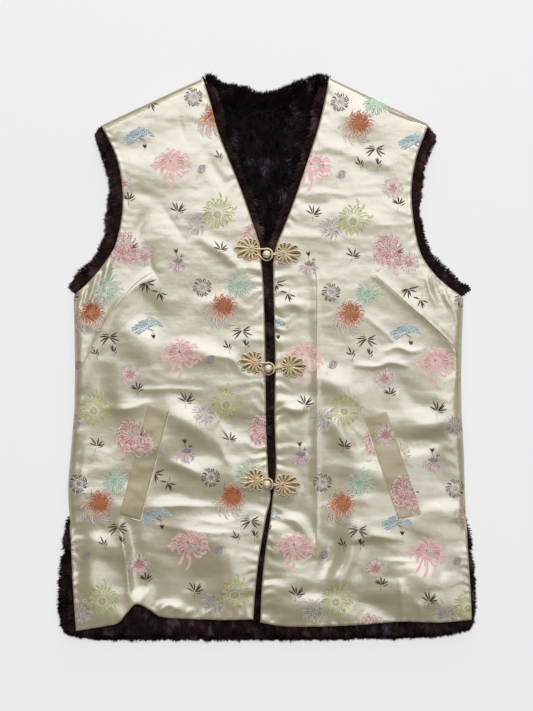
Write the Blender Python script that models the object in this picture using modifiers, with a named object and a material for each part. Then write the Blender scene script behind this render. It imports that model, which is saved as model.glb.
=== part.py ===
"""A fur-lined satin vest, buttoned and laid flat on its back, with the neck towards +Y.

The wearer's right front lies on the -X side, as it does to someone who looks down at the vest.
The layers from the table up are the back's satin, the back's fur lining, the fronts' fur linings
and the fronts' satin, which carries two pocket welts and three frog closures.
Tables are in millimetres. The objects are in metres.
"""

import math
from collections import namedtuple

import bmesh
import bpy
from mathutils import Vector
from mathutils.bvhtree import BVHTree

MM = 0.001

# Layers
CLOTH = 1.2  # satin with its interlining
GAP = 0.3  # clearance between neighbouring pieces
FUR = 10.0  # fur skin and pile, as they lie
BACK_FUR_Z = CLOTH + GAP
FRONT_FUR_Z = BACK_FUR_Z + FUR + GAP
FRONT_TOP = FRONT_FUR_Z + FUR + GAP + CLOTH
SEAM_Z = FRONT_FUR_Z - GAP / 2  # height of the side and shoulder seams
SEAM_EDGE = 0.45  # from the seam's height to the outer edge of each wall

# Edges
ROLL = 9.0  # reach of the rounded fold from a front down to a side or shoulder seam
ROLL_ANGLES = (30, 60, 90)
RIM = 8.0  # width of the fur's rounded rim
RIM_DROP = 2.8  # how far the rim's top and bottom close in
SLIT_OPENING = 12.0  # length over which the side fold flattens below the top of a slit
PARTING = 0.6  # half of the space between the two fronts' furs

# Pocket welts
WELT = 1.6  # two layers of satin
WELT_REACH = 3.5  # half of the welt's grid, within which it clears the folds of its front

# Frog closures
CORD = 2.4
BUTTON = 11.0
PETALS = 11
LONG_PETAL = 22.0  # away from the opening
SHORT_PETAL = 14.0  # up and down
INNER_PETAL = 8.0  # towards the opening
PETAL_NOTCH = 0.2  # share of a petal's length between two tips
PETAL_GROOVE = 0.4  # share of the flower's rise between two petals
PETAL_EDGE = 1.2
FLOWER_RISE = 3.8
HEART = 7.0  # where the grooves reach their depth
FLOWER_GAP = 0.9  # between a flower and the ends of its cord
LOOP_RADIUS = 7.4
LOOP_END = math.radians(105)
LOOP_STEPS = 10
STEM_TUCK = 0.6  # how far the stem reaches under the button
CALM_RADIUS = 27.0  # round a flower, where the cloth lies calm
CALM_BLEND = 8.0
CALM_TOP = FRONT_TOP + 2 * GAP  # what the cords and buttons lie on

Place = namedtuple("Place", "name x y")
Fold = namedtuple("Fold", "name x0 y0 x1 y1 reach rise")
Frog = namedtuple("Frog", "name loop_x loop_y button_x button_y flower_x flower_y")

# The satin fronts' cut edges, each from the hem up or from the middle out
RIGHT_FRONT = {
    "opening": (
        Place("hem corner", -18, -328),
        Place("low skirt", -15, -286.5),
        Place("skirt", -9.5, -243),
        Place("high skirt", -1.5, -199),
        Place("under the bottom frog", 3.5, -176.5),
        Place("bottom frog", 0.5, -143),
        Place("waist", -2, -80),
        Place("middle frog", -3, 7),
        Place("chest", -5, 82),
        Place("foot of the V", -7.5, 117),
    ),
    "neckline": (
        Place("foot of the V", -7.5, 117),
        Place("top frog", -10, 138.5),
        Place("low V", -19.5, 169.5),
        Place("middle of the V", -32.5, 207),
        Place("high V", -62, 282),
        Place("collar bone", -72, 319.5),
        Place("neck point", -80.5, 346),
    ),
    "shoulder": (
        Place("neck point", -80.5, 346),
        Place("inner shoulder", -118, 332),
        Place("outer shoulder", -173, 307.5),
        Place("shoulder point", -207, 285),
    ),
    "slit": (
        Place("hem corner", -240, -343),
        Place("low slit", -242, -311.5),
        Place("middle of the slit", -244.5, -274),
        Place("high slit", -246, -236.5),
        Place("end of the fold", -247, -217),
    ),
    "slit top": (
        Place("end of the fold", -247, -217),
        Place("slit top", -248.5, -205),
    ),
    "side": (
        Place("slit top", -248.5, -205),
        Place("hip", -250.5, -165),
        Place("high hip", -247, -118),
        Place("waist", -243, -74),
        Place("ribs", -242, -10),
        Place("underarm", -243.5, 76),
    ),
    "armhole": (
        Place("underarm", -243.5, 76),
        Place("low curve", -224.5, 93.5),
        Place("curve", -204.5, 117),
        Place("high curve", -190, 142),
        Place("deepest point", -181.5, 195),
        Place("upper armhole", -188, 245),
        Place("shoulder point", -207, 285),
    ),
    "hem": (
        Place("hem corner", -18, -328),
        Place("inner hem", -52, -329),
        Place("before the pucker", -107, -327.5),
        Place("foot of the pucker", -134, -325),
        Place("side of the pucker", -147, -317),
        Place("top of the pucker", -164.5, -309),
        Place("far side of the pucker", -176.5, -321),
        Place("past the pucker", -187, -332.5),
        Place("outer hem", -208, -337.5),
        Place("side corner", -240, -343),
    ),
}
LEFT_FRONT = {
    "opening": (
        Place("hem corner", -9.5, -332),
        Place("low skirt", -7.5, -286.5),
        Place("skirt", -3, -243),
        Place("high skirt", 3.5, -199),
        Place("under the bottom frog", 6, -176.5),
        Place("bottom frog", 10, -143),
        Place("waist", 8.5, -80),
        Place("middle frog", 9, 7),
        Place("chest", 7, 82),
        Place("foot of the V", 6.5, 117),
    ),
    "neckline": (
        Place("foot of the V", 6.5, 117),
        Place("top frog", 10.5, 138.5),
        Place("low V", 23, 169.5),
        Place("middle of the V", 37, 207),
        Place("high V", 61.5, 282),
        Place("collar bone", 71, 319.5),
        Place("neck point", 76, 347),
    ),
    "shoulder": (
        Place("neck point", 76, 347),
        Place("inner shoulder", 109.5, 332),
        Place("outer shoulder", 164.5, 307.5),
        Place("shoulder point", 199.5, 287.5),
    ),
    "slit": (
        Place("hem corner", 255, -328.5),
        Place("low slit", 253.5, -293),
        Place("middle of the slit", 251.5, -261.5),
        Place("high slit", 250, -236.5),
        Place("end of the fold", 249.5, -220),
    ),
    "slit top": (
        Place("end of the fold", 249.5, -220),
        Place("slit top", 249, -208),
    ),
    "side": (
        Place("slit top", 249, -208),
        Place("hip", 247.5, -170),
        Place("high hip", 246, -118),
        Place("waist", 243, -60),
        Place("ribs", 243, 0),
        Place("underarm", 245.5, 73.5),
    ),
    "armhole": (
        Place("underarm", 245.5, 73.5),
        Place("low curve", 228, 86.5),
        Place("curve", 208, 104.5),
        Place("high curve", 190, 134),
        Place("deepest point", 180, 198),
        Place("upper armhole", 185, 245),
        Place("shoulder point", 199.5, 287.5),
    ),
    "hem": (
        Place("hem corner", -9.5, -332),
        Place("inner hem", 20, -337),
        Place("middle of the hem", 64, -337),
        Place("low middle", 115.5, -335),
        Place("outer hem", 169.5, -331),
        Place("flat hem", 217, -332),
        Place("side corner", 255, -328.5),
    ),
}

# The fur that the fronts are lined with, where it isn't found from the satin's own edges
RIGHT_FRONT_FUR = {
    "neckline": (
        Place("foot of the V", -1.1, 117),
        Place("top frog", -2.5, 138.5),
        Place("low V", -9, 169.5),
        Place("middle of the V", -21.5, 207),
        Place("high V", -51, 282),
        Place("collar bone", -60, 319.5),
        Place("neck end", -67, 339),
    ),
    "shoulder": (
        Place("neck end", -67, 339),
        Place("under the neck point", -77, 335),
        Place("inner shoulder", -114.5, 321),
        Place("outer shoulder", -167.5, 298),
        Place("under the shoulder point", -201, 276),
        Place("shoulder end", -211, 278.5),
    ),
    "slit": (
        Place("hem corner", -248, -345),
        Place("low slit", -248, -311.5),
        Place("middle of the slit", -249, -274),
        Place("high slit", -247, -243),
        Place("start of the tuck", -245, -230),
    ),
    "side": (
        Place("end of the tuck", -238, -215),
        Place("hip", -239.5, -165),
        Place("waist", -232.5, -74),
        Place("ribs", -231.5, -10),
        Place("underarm", -232, 76),
    ),
    "armhole": (
        Place("underarm", -232, 76),
        Place("low curve", -233, 100),
        Place("curve", -214.5, 124),
        Place("high curve", -201, 147),
        Place("deepest point", -193.5, 195),
        Place("upper armhole", -200, 243),
        Place("shoulder end", -211, 278.5),
    ),
    "hem": (
        Place("hem corner", -14, -344),
        Place("inner hem", -70, -345.5),
        Place("outer hem", -180, -346),
        Place("side corner", -248, -345),
    ),
}
LEFT_FRONT_FUR = {
    "neckline": (
        Place("foot of the V", 0.1, 117),
        Place("top frog", 2.5, 138.5),
        Place("low V", 12.5, 169.5),
        Place("middle of the V", 26, 207),
        Place("high V", 50.5, 282),
        Place("collar bone", 59.5, 319.5),
        Place("neck end", 62, 339),
    ),
    "shoulder": (
        Place("neck end", 62, 339),
        Place("under the neck point", 72, 336),
        Place("inner shoulder", 105, 321.5),
        Place("outer shoulder", 159.5, 297.5),
        Place("under the shoulder point", 193.5, 278),
        Place("shoulder end", 204, 281),
    ),
    "slit": (
        Place("hem corner", 257, -335),
        Place("low slit", 257.5, -300),
        Place("middle of the slit", 254, -270),
        Place("high slit", 251, -246),
        Place("start of the tuck", 248, -233),
    ),
    "side": (
        Place("end of the tuck", 238.5, -218),
        Place("hip", 236.5, -170),
        Place("waist", 232, -60),
        Place("ribs", 232, 0),
        Place("underarm", 234, 73.5),
    ),
    "armhole": (
        Place("underarm", 234, 73.5),
        Place("low curve", 235.5, 94),
        Place("curve", 217, 112.5),
        Place("high curve", 200, 140),
        Place("deepest point", 189, 198),
        Place("upper armhole", 196, 243),
        Place("shoulder end", 204, 281),
    ),
    "hem": (
        Place("hem corner", -5.5, -346),
        Place("middle of the hem", 64, -347),
        Place("outer hem", 200, -343.5),
        Place("side corner", 257, -335),
    ),
}

# The back's satin, which lies hidden behind its fur. Its sides and shoulders are the fronts' own.
BACK_RIGHT_SLIT = (
    Place("hem corner", -247, -340),
    Place("low slit", -249, -300),
    Place("high slit", -248, -250),
    Place("end of the fold", -247, -217),
)
BACK_LEFT_SLIT = (
    Place("hem corner", 248, -333),
    Place("low slit", 250.5, -300),
    Place("high slit", 250, -250),
    Place("end of the fold", 249.5, -220),
)
BACK_RIGHT_ARMHOLE = (
    Place("underarm", -243.5, 70),
    Place("low curve", -226, 89),
    Place("curve", -207, 113),
    Place("high curve", -195, 141),
    Place("deepest point", -187, 195),
    Place("upper armhole", -193, 245),
    Place("shoulder point", -207, 285),
)
BACK_LEFT_ARMHOLE = (
    Place("underarm", 245.5, 67.5),
    Place("low curve", 230, 85),
    Place("curve", 212, 104),
    Place("high curve", 191, 136),
    Place("deepest point", 180, 190),
    Place("upper armhole", 187, 245),
    Place("shoulder point", 199.5, 287.5),
)
BACK_NECK = (
    Place("right neck point", -80.5, 346),
    Place("right turn", -66, 335),
    Place("middle of the neck", -5, 318),
    Place("left turn", 62, 336),
    Place("left neck point", 76, 347),
)
BACK_HEM = (
    Place("right corner", -247, -340),
    Place("middle", 0, -341),
    Place("left corner", 248, -333),
)

# The outline of the back's fur, which is the vest's own where it shows past the satin
FUR_RIGHT_SLIT = (
    Place("hem corner", -253, -346.5),
    Place("low slit", -261, -330),
    Place("lower middle", -262.5, -305),
    Place("upper middle", -260.5, -270.5),
    Place("high slit", -254.5, -238),
    Place("start of the tuck", -247.5, -226),
)
FUR_LEFT_SLIT = (
    Place("hem corner", 253, -340.5),
    Place("low slit", 260, -331),
    Place("lower middle", 262.5, -311),
    Place("upper middle", 258, -275),
    Place("high slit", 254.5, -243),
    Place("start of the tuck", 249, -230),
)
FUR_RIGHT_SIDE = (
    Place("end of the tuck", -237.5, -215),
    Place("hip", -239.5, -165),
    Place("waist", -232.5, -74),
    Place("ribs", -231.5, -10),
    Place("underarm", -232.5, 66),
)
FUR_LEFT_SIDE = (
    Place("end of the tuck", 238, -218),
    Place("hip", 236.5, -170),
    Place("waist", 232, -60),
    Place("ribs", 232, 0),
    Place("underarm", 234.5, 64),
)
FUR_RIGHT_ARMHOLE = (
    Place("underarm", -232.5, 66),
    Place("behind the seam", -237.5, 79.5),
    Place("low tuft", -249.5, 87.5),
    Place("low curve", -243, 99),
    Place("curve", -219.5, 122),
    Place("high curve", -207, 141),
    Place("lower middle", -203, 176),
    Place("deepest point", -198, 210),
    Place("upper armhole", -205, 242),
    Place("shoulder tuft", -215.5, 274),
    Place("shoulder end", -209.5, 282),
)
FUR_LEFT_ARMHOLE = (
    Place("underarm", 234.5, 64),
    Place("behind the seam", 239.5, 77.5),
    Place("low tuft", 255, 85.5),
    Place("low curve", 241, 96),
    Place("curve", 217, 120),
    Place("high curve", 192, 141),
    Place("lower middle", 187.5, 170),
    Place("deepest point", 193, 207),
    Place("upper armhole", 196, 238),
    Place("shoulder tuft", 210.5, 272),
    Place("shoulder end", 202.5, 284.5),
)
FUR_NECK = (
    Place("right neck end", -77.5, 340),
    Place("right tuft", -71, 351.5),
    Place("right dip", -52, 342),
    Place("right middle", -34.5, 341),
    Place("lowest point", -12, 329.5),
    Place("left middle", 25.5, 339.5),
    Place("left rise", 50, 350),
    Place("left tuft", 66, 354),
    Place("left neck end", 73, 341),
)
FUR_HEM = (
    Place("right corner", -253, -346.5),
    Place("right", -228, -353),
    Place("right middle", -150, -352.5),
    Place("middle", 0, -353.5),
    Place("left middle", 150, -351.5),
    Place("left", 225, -348),
    Place("left corner", 253, -340.5),
)

# The largest folds of the satin, as soft ridges from one place to another
RIGHT_FOLDS = (
    Fold("dart, outer half", -239, -38, -203, 34, 7, 2.2),
    Fold("dart, inner half", -203, 34, -147, 100, 7, 2.6),
    Fold("underarm gather", -226, 86, -236, 30, 6, 3.0),
    Fold("armhole gather", -205, 108, -214, 66, 7, 3.2),
    Fold("chest swell", -165, 215, -110, 250, 30, 3.0),
    Fold("chest drag", -150, 168, -92, 132, 16, 3.0),
    Fold("rib drag", -166, -42, -84, -42, 8, 2.6),
    Fold("waist drag", -206, -64, -152, -58, 7, 2.4),
    Fold("frog drag", -112, 12, -60, -6, 13, 2.6),
    Fold("pocket puff", -116, -72, -70, -98, 18, 3.6),
    Fold("skirt drag", -150, -190, -66, -196, 14, 3.0),
    Fold("skirt crease", -187, -208, -175, -300, 9, 3.4),
    Fold("skirt puff", -60, -240, -42, -300, 26, 3.6),
    Fold("side puff", -226, -240, -222, -300, 18, 2.6),
    Fold("hem pucker", -168, -318, -150, -290, 12, 4.0),
    Fold("shoulder swell", -150, 290, -104, 306, 24, 2.0),
)
LEFT_FOLDS = (
    Fold("dart, outer half", 239, -26, 207, 36, 7, 2.2),
    Fold("dart, inner half", 207, 36, 133, 104, 7, 2.6),
    Fold("underarm gather", 226, 78, 238, 26, 7, 2.8),
    Fold("armhole drag", 150, 190, 176, 176, 9, 2.4),
    Fold("chest drag", 82, 182, 150, 168, 12, 3.2),
    Fold("rib fold", 148, 12, 188, 4, 7, 3.2),
    Fold("waist fold", 112, -12, 170, -8, 8, 3.4),
    Fold("frog drag", 70, -30, 112, -46, 16, 2.6),
    Fold("placket edge", 59, 98, 62, -245, 5, 1.8),
    Fold("pocket puff", 80, -74, 100, -120, 18, 3.2),
    Fold("pocket foot", 160, -212, 96, -232, 13, 3.4),
    Fold("skirt crease", 100, -216, 72, -280, 14, 3.6),
    Fold("skirt puff", 150, -262, 214, -284, 26, 3.8),
    Fold("hem pucker", 168, -328, 170, -296, 9, 3.6),
    Fold("side puff", 222, -40, 226, -120, 18, 2.4),
    Fold("shoulder swell", 100, 306, 146, 286, 24, 2.0),
)

# Pocket welts by their corners: top inner, top outer, foot inner, foot outer
RIGHT_WELT = ((-122, -67), (-150.5, -59), (-159, -205), (-186.5, -197.5))
LEFT_WELT = ((119.5, -74.5), (149.5, -67), (163, -204), (194, -198.5))

# The loop's flower, the button and the button's flower of each frog
FROGS = (
    Frog("top", -20.4, 135, -1.4, 128, 19.8, 129.5),
    Frog("middle", -15.5, -6.5, 0.8, -14.5, 26, -12),
    Frog("bottom", -14, -154, -1, -159, 18.5, -160),
)

SATIN_COLOUR = (0.60, 0.57, 0.44)
WELT_COLOUR = (0.53, 0.49, 0.33)
FUR_COLOUR = (0.018, 0.009, 0.009)
FROG_COLOUR = (0.42, 0.35, 0.19)


def length_of(points):
    """Running length along a line of points, from its first."""
    total = [0.0]
    for a, b in zip(points, points[1:]):
        total.append(total[-1] + (b - a).length)
    return total


def smooth_curve(places, steps=24):
    """Points along a curve that passes smoothly through the places."""
    knots = [Vector((p.x, p.y)) for p in places]
    at = length_of(knots)
    last = len(knots) - 1
    slopes = []
    for i in range(last + 1):
        low, high = max(i - 1, 0), min(i + 1, last)
        slopes.append((knots[high] - knots[low]) / (at[high] - at[low]))
    points = []
    for i in range(last):
        span = at[i + 1] - at[i]
        for k in range(steps):
            t = k / steps
            points.append(
                knots[i] * (1 + 2 * t) * (1 - t) ** 2
                + slopes[i] * span * t * (1 - t) ** 2
                + knots[i + 1] * t * t * (3 - 2 * t)
                + slopes[i + 1] * span * t * t * (t - 1)
            )
    return points + [knots[-1]]


def points_at(curve, shares):
    """The points at these shares of a curve's length."""
    at = length_of(curve)
    found = []
    for share in shares:
        want = share * at[-1]
        i = next((k for k in range(1, len(at)) if at[k] >= want), len(at) - 1)
        t = (want - at[i - 1]) / (at[i] - at[i - 1])
        found.append(curve[i - 1].lerp(curve[i], min(t, 1.0)))
    return found


def joined(*sections):
    """One line of points from several sections, each a table of places and the shares to keep."""
    points = []
    for places, shares in sections:
        found = points_at(smooth_curve(places), shares)
        points += found if not points else found[1:]
    return points


def even(count):
    """Shares of an edge that split it evenly."""
    return [k / count for k in range(count + 1)]


def rolled(count, share, start=0.0):
    """Even shares, then closer ones that follow the rounded fold in the last share of an edge.
    start is the share at the other end that holds the end of another fold."""
    flat = [start + k / count * (1 - share - start) for k in range(count + 1)]
    turn = [1 - share * (1 - math.sin(math.radians(a))) for a in ROLL_ANGLES]
    return ([0.0, start / 2] if start else []) + flat + turn


def reversed_shares(shares):
    return [1 - share for share in reversed(shares)]


def rimmed(count, share):
    """Even shares with one more at each end, where the fur's rounded rim begins."""
    return [0.0] + [share + k / count * (1 - 2 * share) for k in range(count + 1)] + [1.0]


def patch(left, right, bottom, top, across, up):
    """Rows of points that fill four edges. Across and up are the edges' own shares."""
    rows = []
    for j, v in enumerate(up):
        row = []
        for i, u in enumerate(across):
            corners = (
                left[0] * (1 - u) * (1 - v)
                + right[0] * u * (1 - v)
                + left[-1] * (1 - u) * v
                + right[-1] * u * v
            )
            sides = left[j] * (1 - u) + right[j] * u
            ends = bottom[i] * (1 - v) + top[i] * v
            row.append(sides + ends - corners)
        rows.append(row)
    return rows


def shares_of(*lines):
    """Average running share of several lines with the same number of points."""
    runs = [length_of(line) for line in lines]
    return [sum(run[k] / run[-1] for run in runs) / len(runs) for k in range(len(lines[0]))]


def smoothstep(value, low, high):
    t = min(max((value - low) / (high - low), 0.0), 1.0)
    return t * t * (3 - 2 * t)


def distance_to_line(x, y, a, b):
    """Distance from a point to the stretch from a to b, and the share of the stretch it is at."""
    stretch = b - a
    point = Vector((x, y))
    share = (point - a).dot(stretch) / stretch.length_squared
    near = a + stretch * min(max(share, 0.0), 1.0)
    return (point - near).length, share


def distance_to_curve(x, y, curve):
    return min(distance_to_line(x, y, a, b)[0] for a, b in zip(curve, curve[1:]))


def roll_drop(distance, height):
    """How far the cloth has turned down at this distance from its seam."""
    if distance >= ROLL:
        return 0.0
    lean = (ROLL - distance) / ROLL
    return height * (1 - math.sqrt(max(1 - lean * lean, 0.0)))


def fold_rise(x, y, folds):
    """Height of the folds at a point, calm round the frogs."""
    rise = 0.0
    for f in folds:
        a, b = Vector((f.x0, f.y0)), Vector((f.x1, f.y1))
        away, share = distance_to_line(x, y, a, b)
        fade = math.exp(-((away / f.reach) ** 2))
        rise += f.rise * fade * (1 - 0.35 * abs(2 * min(max(share, 0), 1) - 1))
    for frog in FROGS:
        for fx, fy in ((frog.loop_x, frog.loop_y), (frog.flower_x, frog.flower_y)):
            away = math.hypot(x - fx, y - fy)
            rise *= smoothstep(away, CALM_RADIUS - CALM_BLEND, CALM_RADIUS + CALM_BLEND)
    return rise


def closed_edges(front):
    """The side seam, carried on below the top of the slit, and the shoulder seam of a front."""
    side = smooth_curve(front["side"])
    below = side[0] - Vector((0, 2 * SLIT_OPENING))
    return [below, *side], smooth_curve(front["shoulder"])


def seam_drop(x, y, front, edges, height):
    """How far a panel has turned towards its seams at a point."""
    side, shoulder = edges
    slit_top = front["slit top"][1].y
    fold = smoothstep(y, slit_top - SLIT_OPENING, slit_top)
    at_side = roll_drop(distance_to_curve(x, y, side), height) * fold
    at_shoulder = roll_drop(distance_to_curve(x, y, shoulder), height)
    return max(at_side, at_shoulder)


def material(name, colour, roughness):
    made = bpy.data.materials.get(name) or bpy.data.materials.new(name)
    made.use_nodes = True
    shader = made.node_tree.nodes["Principled BSDF"]
    shader.inputs["Base Color"].default_value = (*colour, 1)
    shader.inputs["Roughness"].default_value = roughness
    shader.inputs["Metallic"].default_value = 0.0
    return made


def satin():
    return material("satin", SATIN_COLOUR, 0.35)


def welt_satin():
    return material("welt satin", WELT_COLOUR, 0.45)


def fur():
    return material("fur", FUR_COLOUR, 0.8)


def frog_satin():
    return material("frog satin", FROG_COLOUR, 0.4)


def add_object(name, bm, stuff, smooth=True):
    """A mesh object of the vest, made from a bmesh in millimetres."""
    bmesh.ops.scale(bm, vec=(MM, MM, MM), verts=bm.verts)
    mesh = bpy.data.meshes.new(name)
    bm.to_mesh(mesh)
    bm.free()
    mesh.materials.append(stuff)
    if smooth:
        mesh.shade_smooth()
        mesh.set_sharp_from_angle(angle=math.radians(50))
    made = bpy.data.objects.new(name, mesh)
    vest().objects.link(made)
    return made


def vest():
    """The collection that holds the vest."""
    found = bpy.data.collections.get("fur-lined vest")
    if not found:
        found = bpy.data.collections.new("fur-lined vest")
        bpy.context.scene.collection.children.link(found)
    return found


def unit_grid(columns, rows):
    """A bmesh grid, and a function that gives a vertex's column and row."""
    bm = bmesh.new()
    bmesh.ops.create_grid(bm, x_segments=columns, y_segments=rows, size=0.5)

    def cell(vertex):
        return round((vertex.co.x + 0.5) * columns), round((vertex.co.y + 0.5) * rows)

    return bm, cell


def cloth_panel(name, rows, height, stuff, outside_up):
    """A cloth wall through rows of plan points. height(x, y) gives its outer face."""
    bm, cell = unit_grid(len(rows[0]) - 1, len(rows) - 1)
    for vertex in bm.verts:
        i, j = cell(vertex)
        x, y = rows[j][i]
        vertex.co = (x, y, height(x, y))
    bmesh.ops.recalc_face_normals(bm, faces=bm.faces)
    faces_up = sum(face.normal.z for face in bm.faces) > 0
    if faces_up != outside_up:
        bmesh.ops.reverse_faces(bm, faces=bm.faces)
    bmesh.ops.triangulate(bm, faces=bm.faces)
    panel = add_object(name, bm, stuff)
    wall = panel.modifiers.new("wall", "SOLIDIFY")
    wall.thickness = CLOTH * MM
    wall.offset = -1
    return panel


def slab(name, rows, low, high, stuff, drop=None):
    """A closed slab through rows of plan points. low and high give its faces at a point,
    and drop closes them in along the outline."""
    columns, steps = len(rows[0]) - 1, len(rows) - 1
    bm, cell = unit_grid(columns, steps)
    lifted = bmesh.ops.extrude_face_region(bm, geom=bm.faces[:])["geom"]
    upper = {v for v in lifted if isinstance(v, bmesh.types.BMVert)}
    for vertex in bm.verts:
        i, j = cell(vertex)
        x, y = rows[j][i]
        close = drop if drop and (i in (0, columns) or j in (0, steps)) else 0.0
        vertex.co = (x, y, high(x, y) - close if vertex in upper else low(x, y) + close)
    bmesh.ops.recalc_face_normals(bm, faces=bm.faces)
    bmesh.ops.triangulate(bm, faces=bm.faces)
    return add_object(name, bm, stuff)


def front_shell(name, front, folds):
    """The satin of one front, with its folds, rounded down to the side and shoulder seams."""
    up_side = joined(
        (front["slit"], even(5)),
        (front["slit top"], even(1)),
        (front["side"], even(10)),
        (front["armhole"], rolled(8, 0.036, start=0.04)),
    )
    up_middle = joined((front["opening"], even(17)), (front["neckline"], rolled(9, 0.036)))
    across = rolled(12, 0.038)
    bottom = points_at(smooth_curve(front["hem"]), across)
    top = points_at(smooth_curve(front["shoulder"]), across)
    up = shares_of(up_middle, up_side)
    rows = patch(up_middle, up_side, bottom, top, across, up)
    edges = closed_edges(front)
    height = FRONT_TOP - SEAM_Z - SEAM_EDGE

    def outer_face(x, y):
        drop = seam_drop(x, y, front, edges, height)
        return FRONT_TOP - drop + fold_rise(x, y, folds) * (1 - drop / height)

    return cloth_panel(name, rows, outer_face, satin(), outside_up=True)


def front_lining(name, lining, side_sign):
    """The fur of one front, which shows past the satin's edges."""
    middle = [
        Place(r.name, (r.x + s.x) / 2 + side_sign * PARTING, r.y)
        for r, s in zip(RIGHT_FRONT["opening"][1:], LEFT_FRONT["opening"][1:])
    ]
    opening = (lining["hem"][0], *middle)
    tuck = (lining["slit"][-1], lining["side"][0])
    rim = 0.038
    up_side = joined(
        (lining["slit"], [0.0, 0.08, 0.36, 0.68, 1.0]),
        (tuck, even(1)),
        (lining["side"], even(6)),
        (lining["armhole"], [0.0, 0.13, 0.26, 0.4, 0.55, 0.7, 0.85, 0.96, 1.0]),
    )
    up_middle = joined(
        (opening, [0.0, 0.02, 0.12, 0.2, 0.27, 0.36, 0.48, 0.6, 0.73, 0.86, 0.94, 1.0]),
        (lining["neckline"], [0.0, 0.13, 0.26, 0.4, 0.55, 0.7, 0.85, 0.96, 1.0]),
    )
    across = rimmed(8, rim)
    bottom = points_at(smooth_curve(lining["hem"]), across)
    top = points_at(smooth_curve(lining["shoulder"]), across)
    up = shares_of(up_middle, up_side)
    rows = patch(up_middle, up_side, bottom, top, across, up)
    return slab(
        name,
        rows,
        low=lambda x, y: FRONT_FUR_Z,
        high=lambda x, y: FRONT_FUR_Z + FUR,
        stuff=fur(),
        drop=RIM_DROP,
    )


def back_shell():
    """The satin back, flat on the table and rounded up to the side and shoulder seams."""
    seams = {}
    closed = []
    for name, front, slit, armhole in (
        ("right", RIGHT_FRONT, BACK_RIGHT_SLIT, BACK_RIGHT_ARMHOLE),
        ("left", LEFT_FRONT, BACK_LEFT_SLIT, BACK_LEFT_ARMHOLE),
    ):
        side = (*front["side"][:-1], armhole[0])
        closed.append({**front, "side": side})
        seams[name] = joined(
            (slit, even(3)),
            (front["slit top"], even(1)),
            (side, even(6)),
            (armhole, rolled(5, 0.036, start=0.04)),
        )
    top = joined(
        (RIGHT_FRONT["shoulder"][::-1], reversed_shares(rolled(2, 0.066))),
        (BACK_NECK, [0.0, 0.03, 0.06, 0.3, 0.5, 0.7, 0.94, 0.97, 1.0]),
        (LEFT_FRONT["shoulder"], rolled(2, 0.066)),
    )
    across = shares_of(top)
    bottom = points_at(smooth_curve(BACK_HEM), across)
    up = shares_of(seams["right"], seams["left"])
    rows = patch(seams["right"], seams["left"], bottom, top, across, up)
    edges = [closed_edges(half) for half in closed]
    height = SEAM_Z - SEAM_EDGE

    def outer_face(x, y):
        return max(seam_drop(x, y, *half, height) for half in zip(closed, edges))

    return cloth_panel("back_shell", rows, outer_face, satin(), outside_up=False)


def back_lining():
    """The fur of the back, whose outline is the vest's at the neck, armholes, slits and hem."""
    sides = {}
    for name, slit, side, armhole in (
        ("right", FUR_RIGHT_SLIT, FUR_RIGHT_SIDE, FUR_RIGHT_ARMHOLE),
        ("left", FUR_LEFT_SLIT, FUR_LEFT_SIDE, FUR_LEFT_ARMHOLE),
    ):
        sides[name] = joined(
            (slit, [0.0, 0.08, 0.3, 0.52, 0.76, 1.0]),
            ((slit[-1], side[0]), even(1)),
            (side, even(6)),
            (armhole, [0.0, 0.055, 0.12, 0.2, 0.32, 0.44, 0.57, 0.7, 0.82, 0.94, 1.0]),
        )
    right_shoulder = (FUR_RIGHT_ARMHOLE[-1], *reversed(RIGHT_FRONT_FUR["shoulder"][1:-1]))
    left_shoulder = (*LEFT_FRONT_FUR["shoulder"][1:-1], FUR_LEFT_ARMHOLE[-1])
    top = joined(
        (right_shoulder, [0.0, 0.075, 0.36, 0.68, 1.0]),
        ((right_shoulder[-1], FUR_NECK[0]), even(1)),
        (FUR_NECK, [0.0, 0.075, 0.2, 0.32, 0.46, 0.62, 0.78, 0.9, 1.0]),
        ((FUR_NECK[-1], left_shoulder[0]), even(1)),
        (left_shoulder, [0.0, 0.32, 0.64, 0.925, 1.0]),
    )
    columns = len(top) - 1
    across = rimmed(columns - 2, 0.019)
    bottom = points_at(smooth_curve(FUR_HEM), across)
    up = shares_of(sides["right"], sides["left"])
    rows = patch(sides["right"], sides["left"], bottom, top, across, up)
    return slab(
        "back_lining",
        rows,
        low=lambda x, y: BACK_FUR_Z,
        high=lambda x, y: BACK_FUR_Z + FUR,
        stuff=fur(),
        drop=RIM_DROP,
    )


def outer_skin(panel):
    """A function that gives the height of a panel's top face, or nothing beside the panel."""
    bpy.context.view_layer.update()
    tree = BVHTree.FromObject(panel, bpy.context.evaluated_depsgraph_get())

    def height(x, y):
        hit = tree.ray_cast(Vector((x * MM, y * MM, 1.0)), Vector((0, 0, -1)))[0]
        return hit.z / MM if hit else None

    return height


def pocket_welt(name, corners, panel):
    """A folded strip of satin over a slanted pocket, laid on its front."""
    top_inner, top_outer, foot_inner, foot_outer = (Vector(c) for c in corners)
    rows = [
        [foot_inner.lerp(top_inner, v).lerp(foot_outer.lerp(top_outer, v), u) for u in even(5)]
        for v in even(22)
    ]
    skin = outer_skin(panel)
    around = ((0, 0), (WELT_REACH, 0), (-WELT_REACH, 0), (0, WELT_REACH), (0, -WELT_REACH))

    def bed(x, y):
        """The highest satin at a point of the welt and just round it."""
        return max(skin(x + dx, y + dy) for dx, dy in around) + GAP

    return slab(name, rows, low=bed, high=lambda x, y: bed(x, y) + WELT, stuff=welt_satin())


def petal_reach(angle, outward):
    """Distance from a flower's middle to its petals' tips. outward is where the long ones point."""
    facing = math.cos(angle - outward)
    if facing > 0:
        return SHORT_PETAL + (LONG_PETAL - SHORT_PETAL) * facing**3
    return SHORT_PETAL - (SHORT_PETAL - INNER_PETAL) * facing**2


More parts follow.
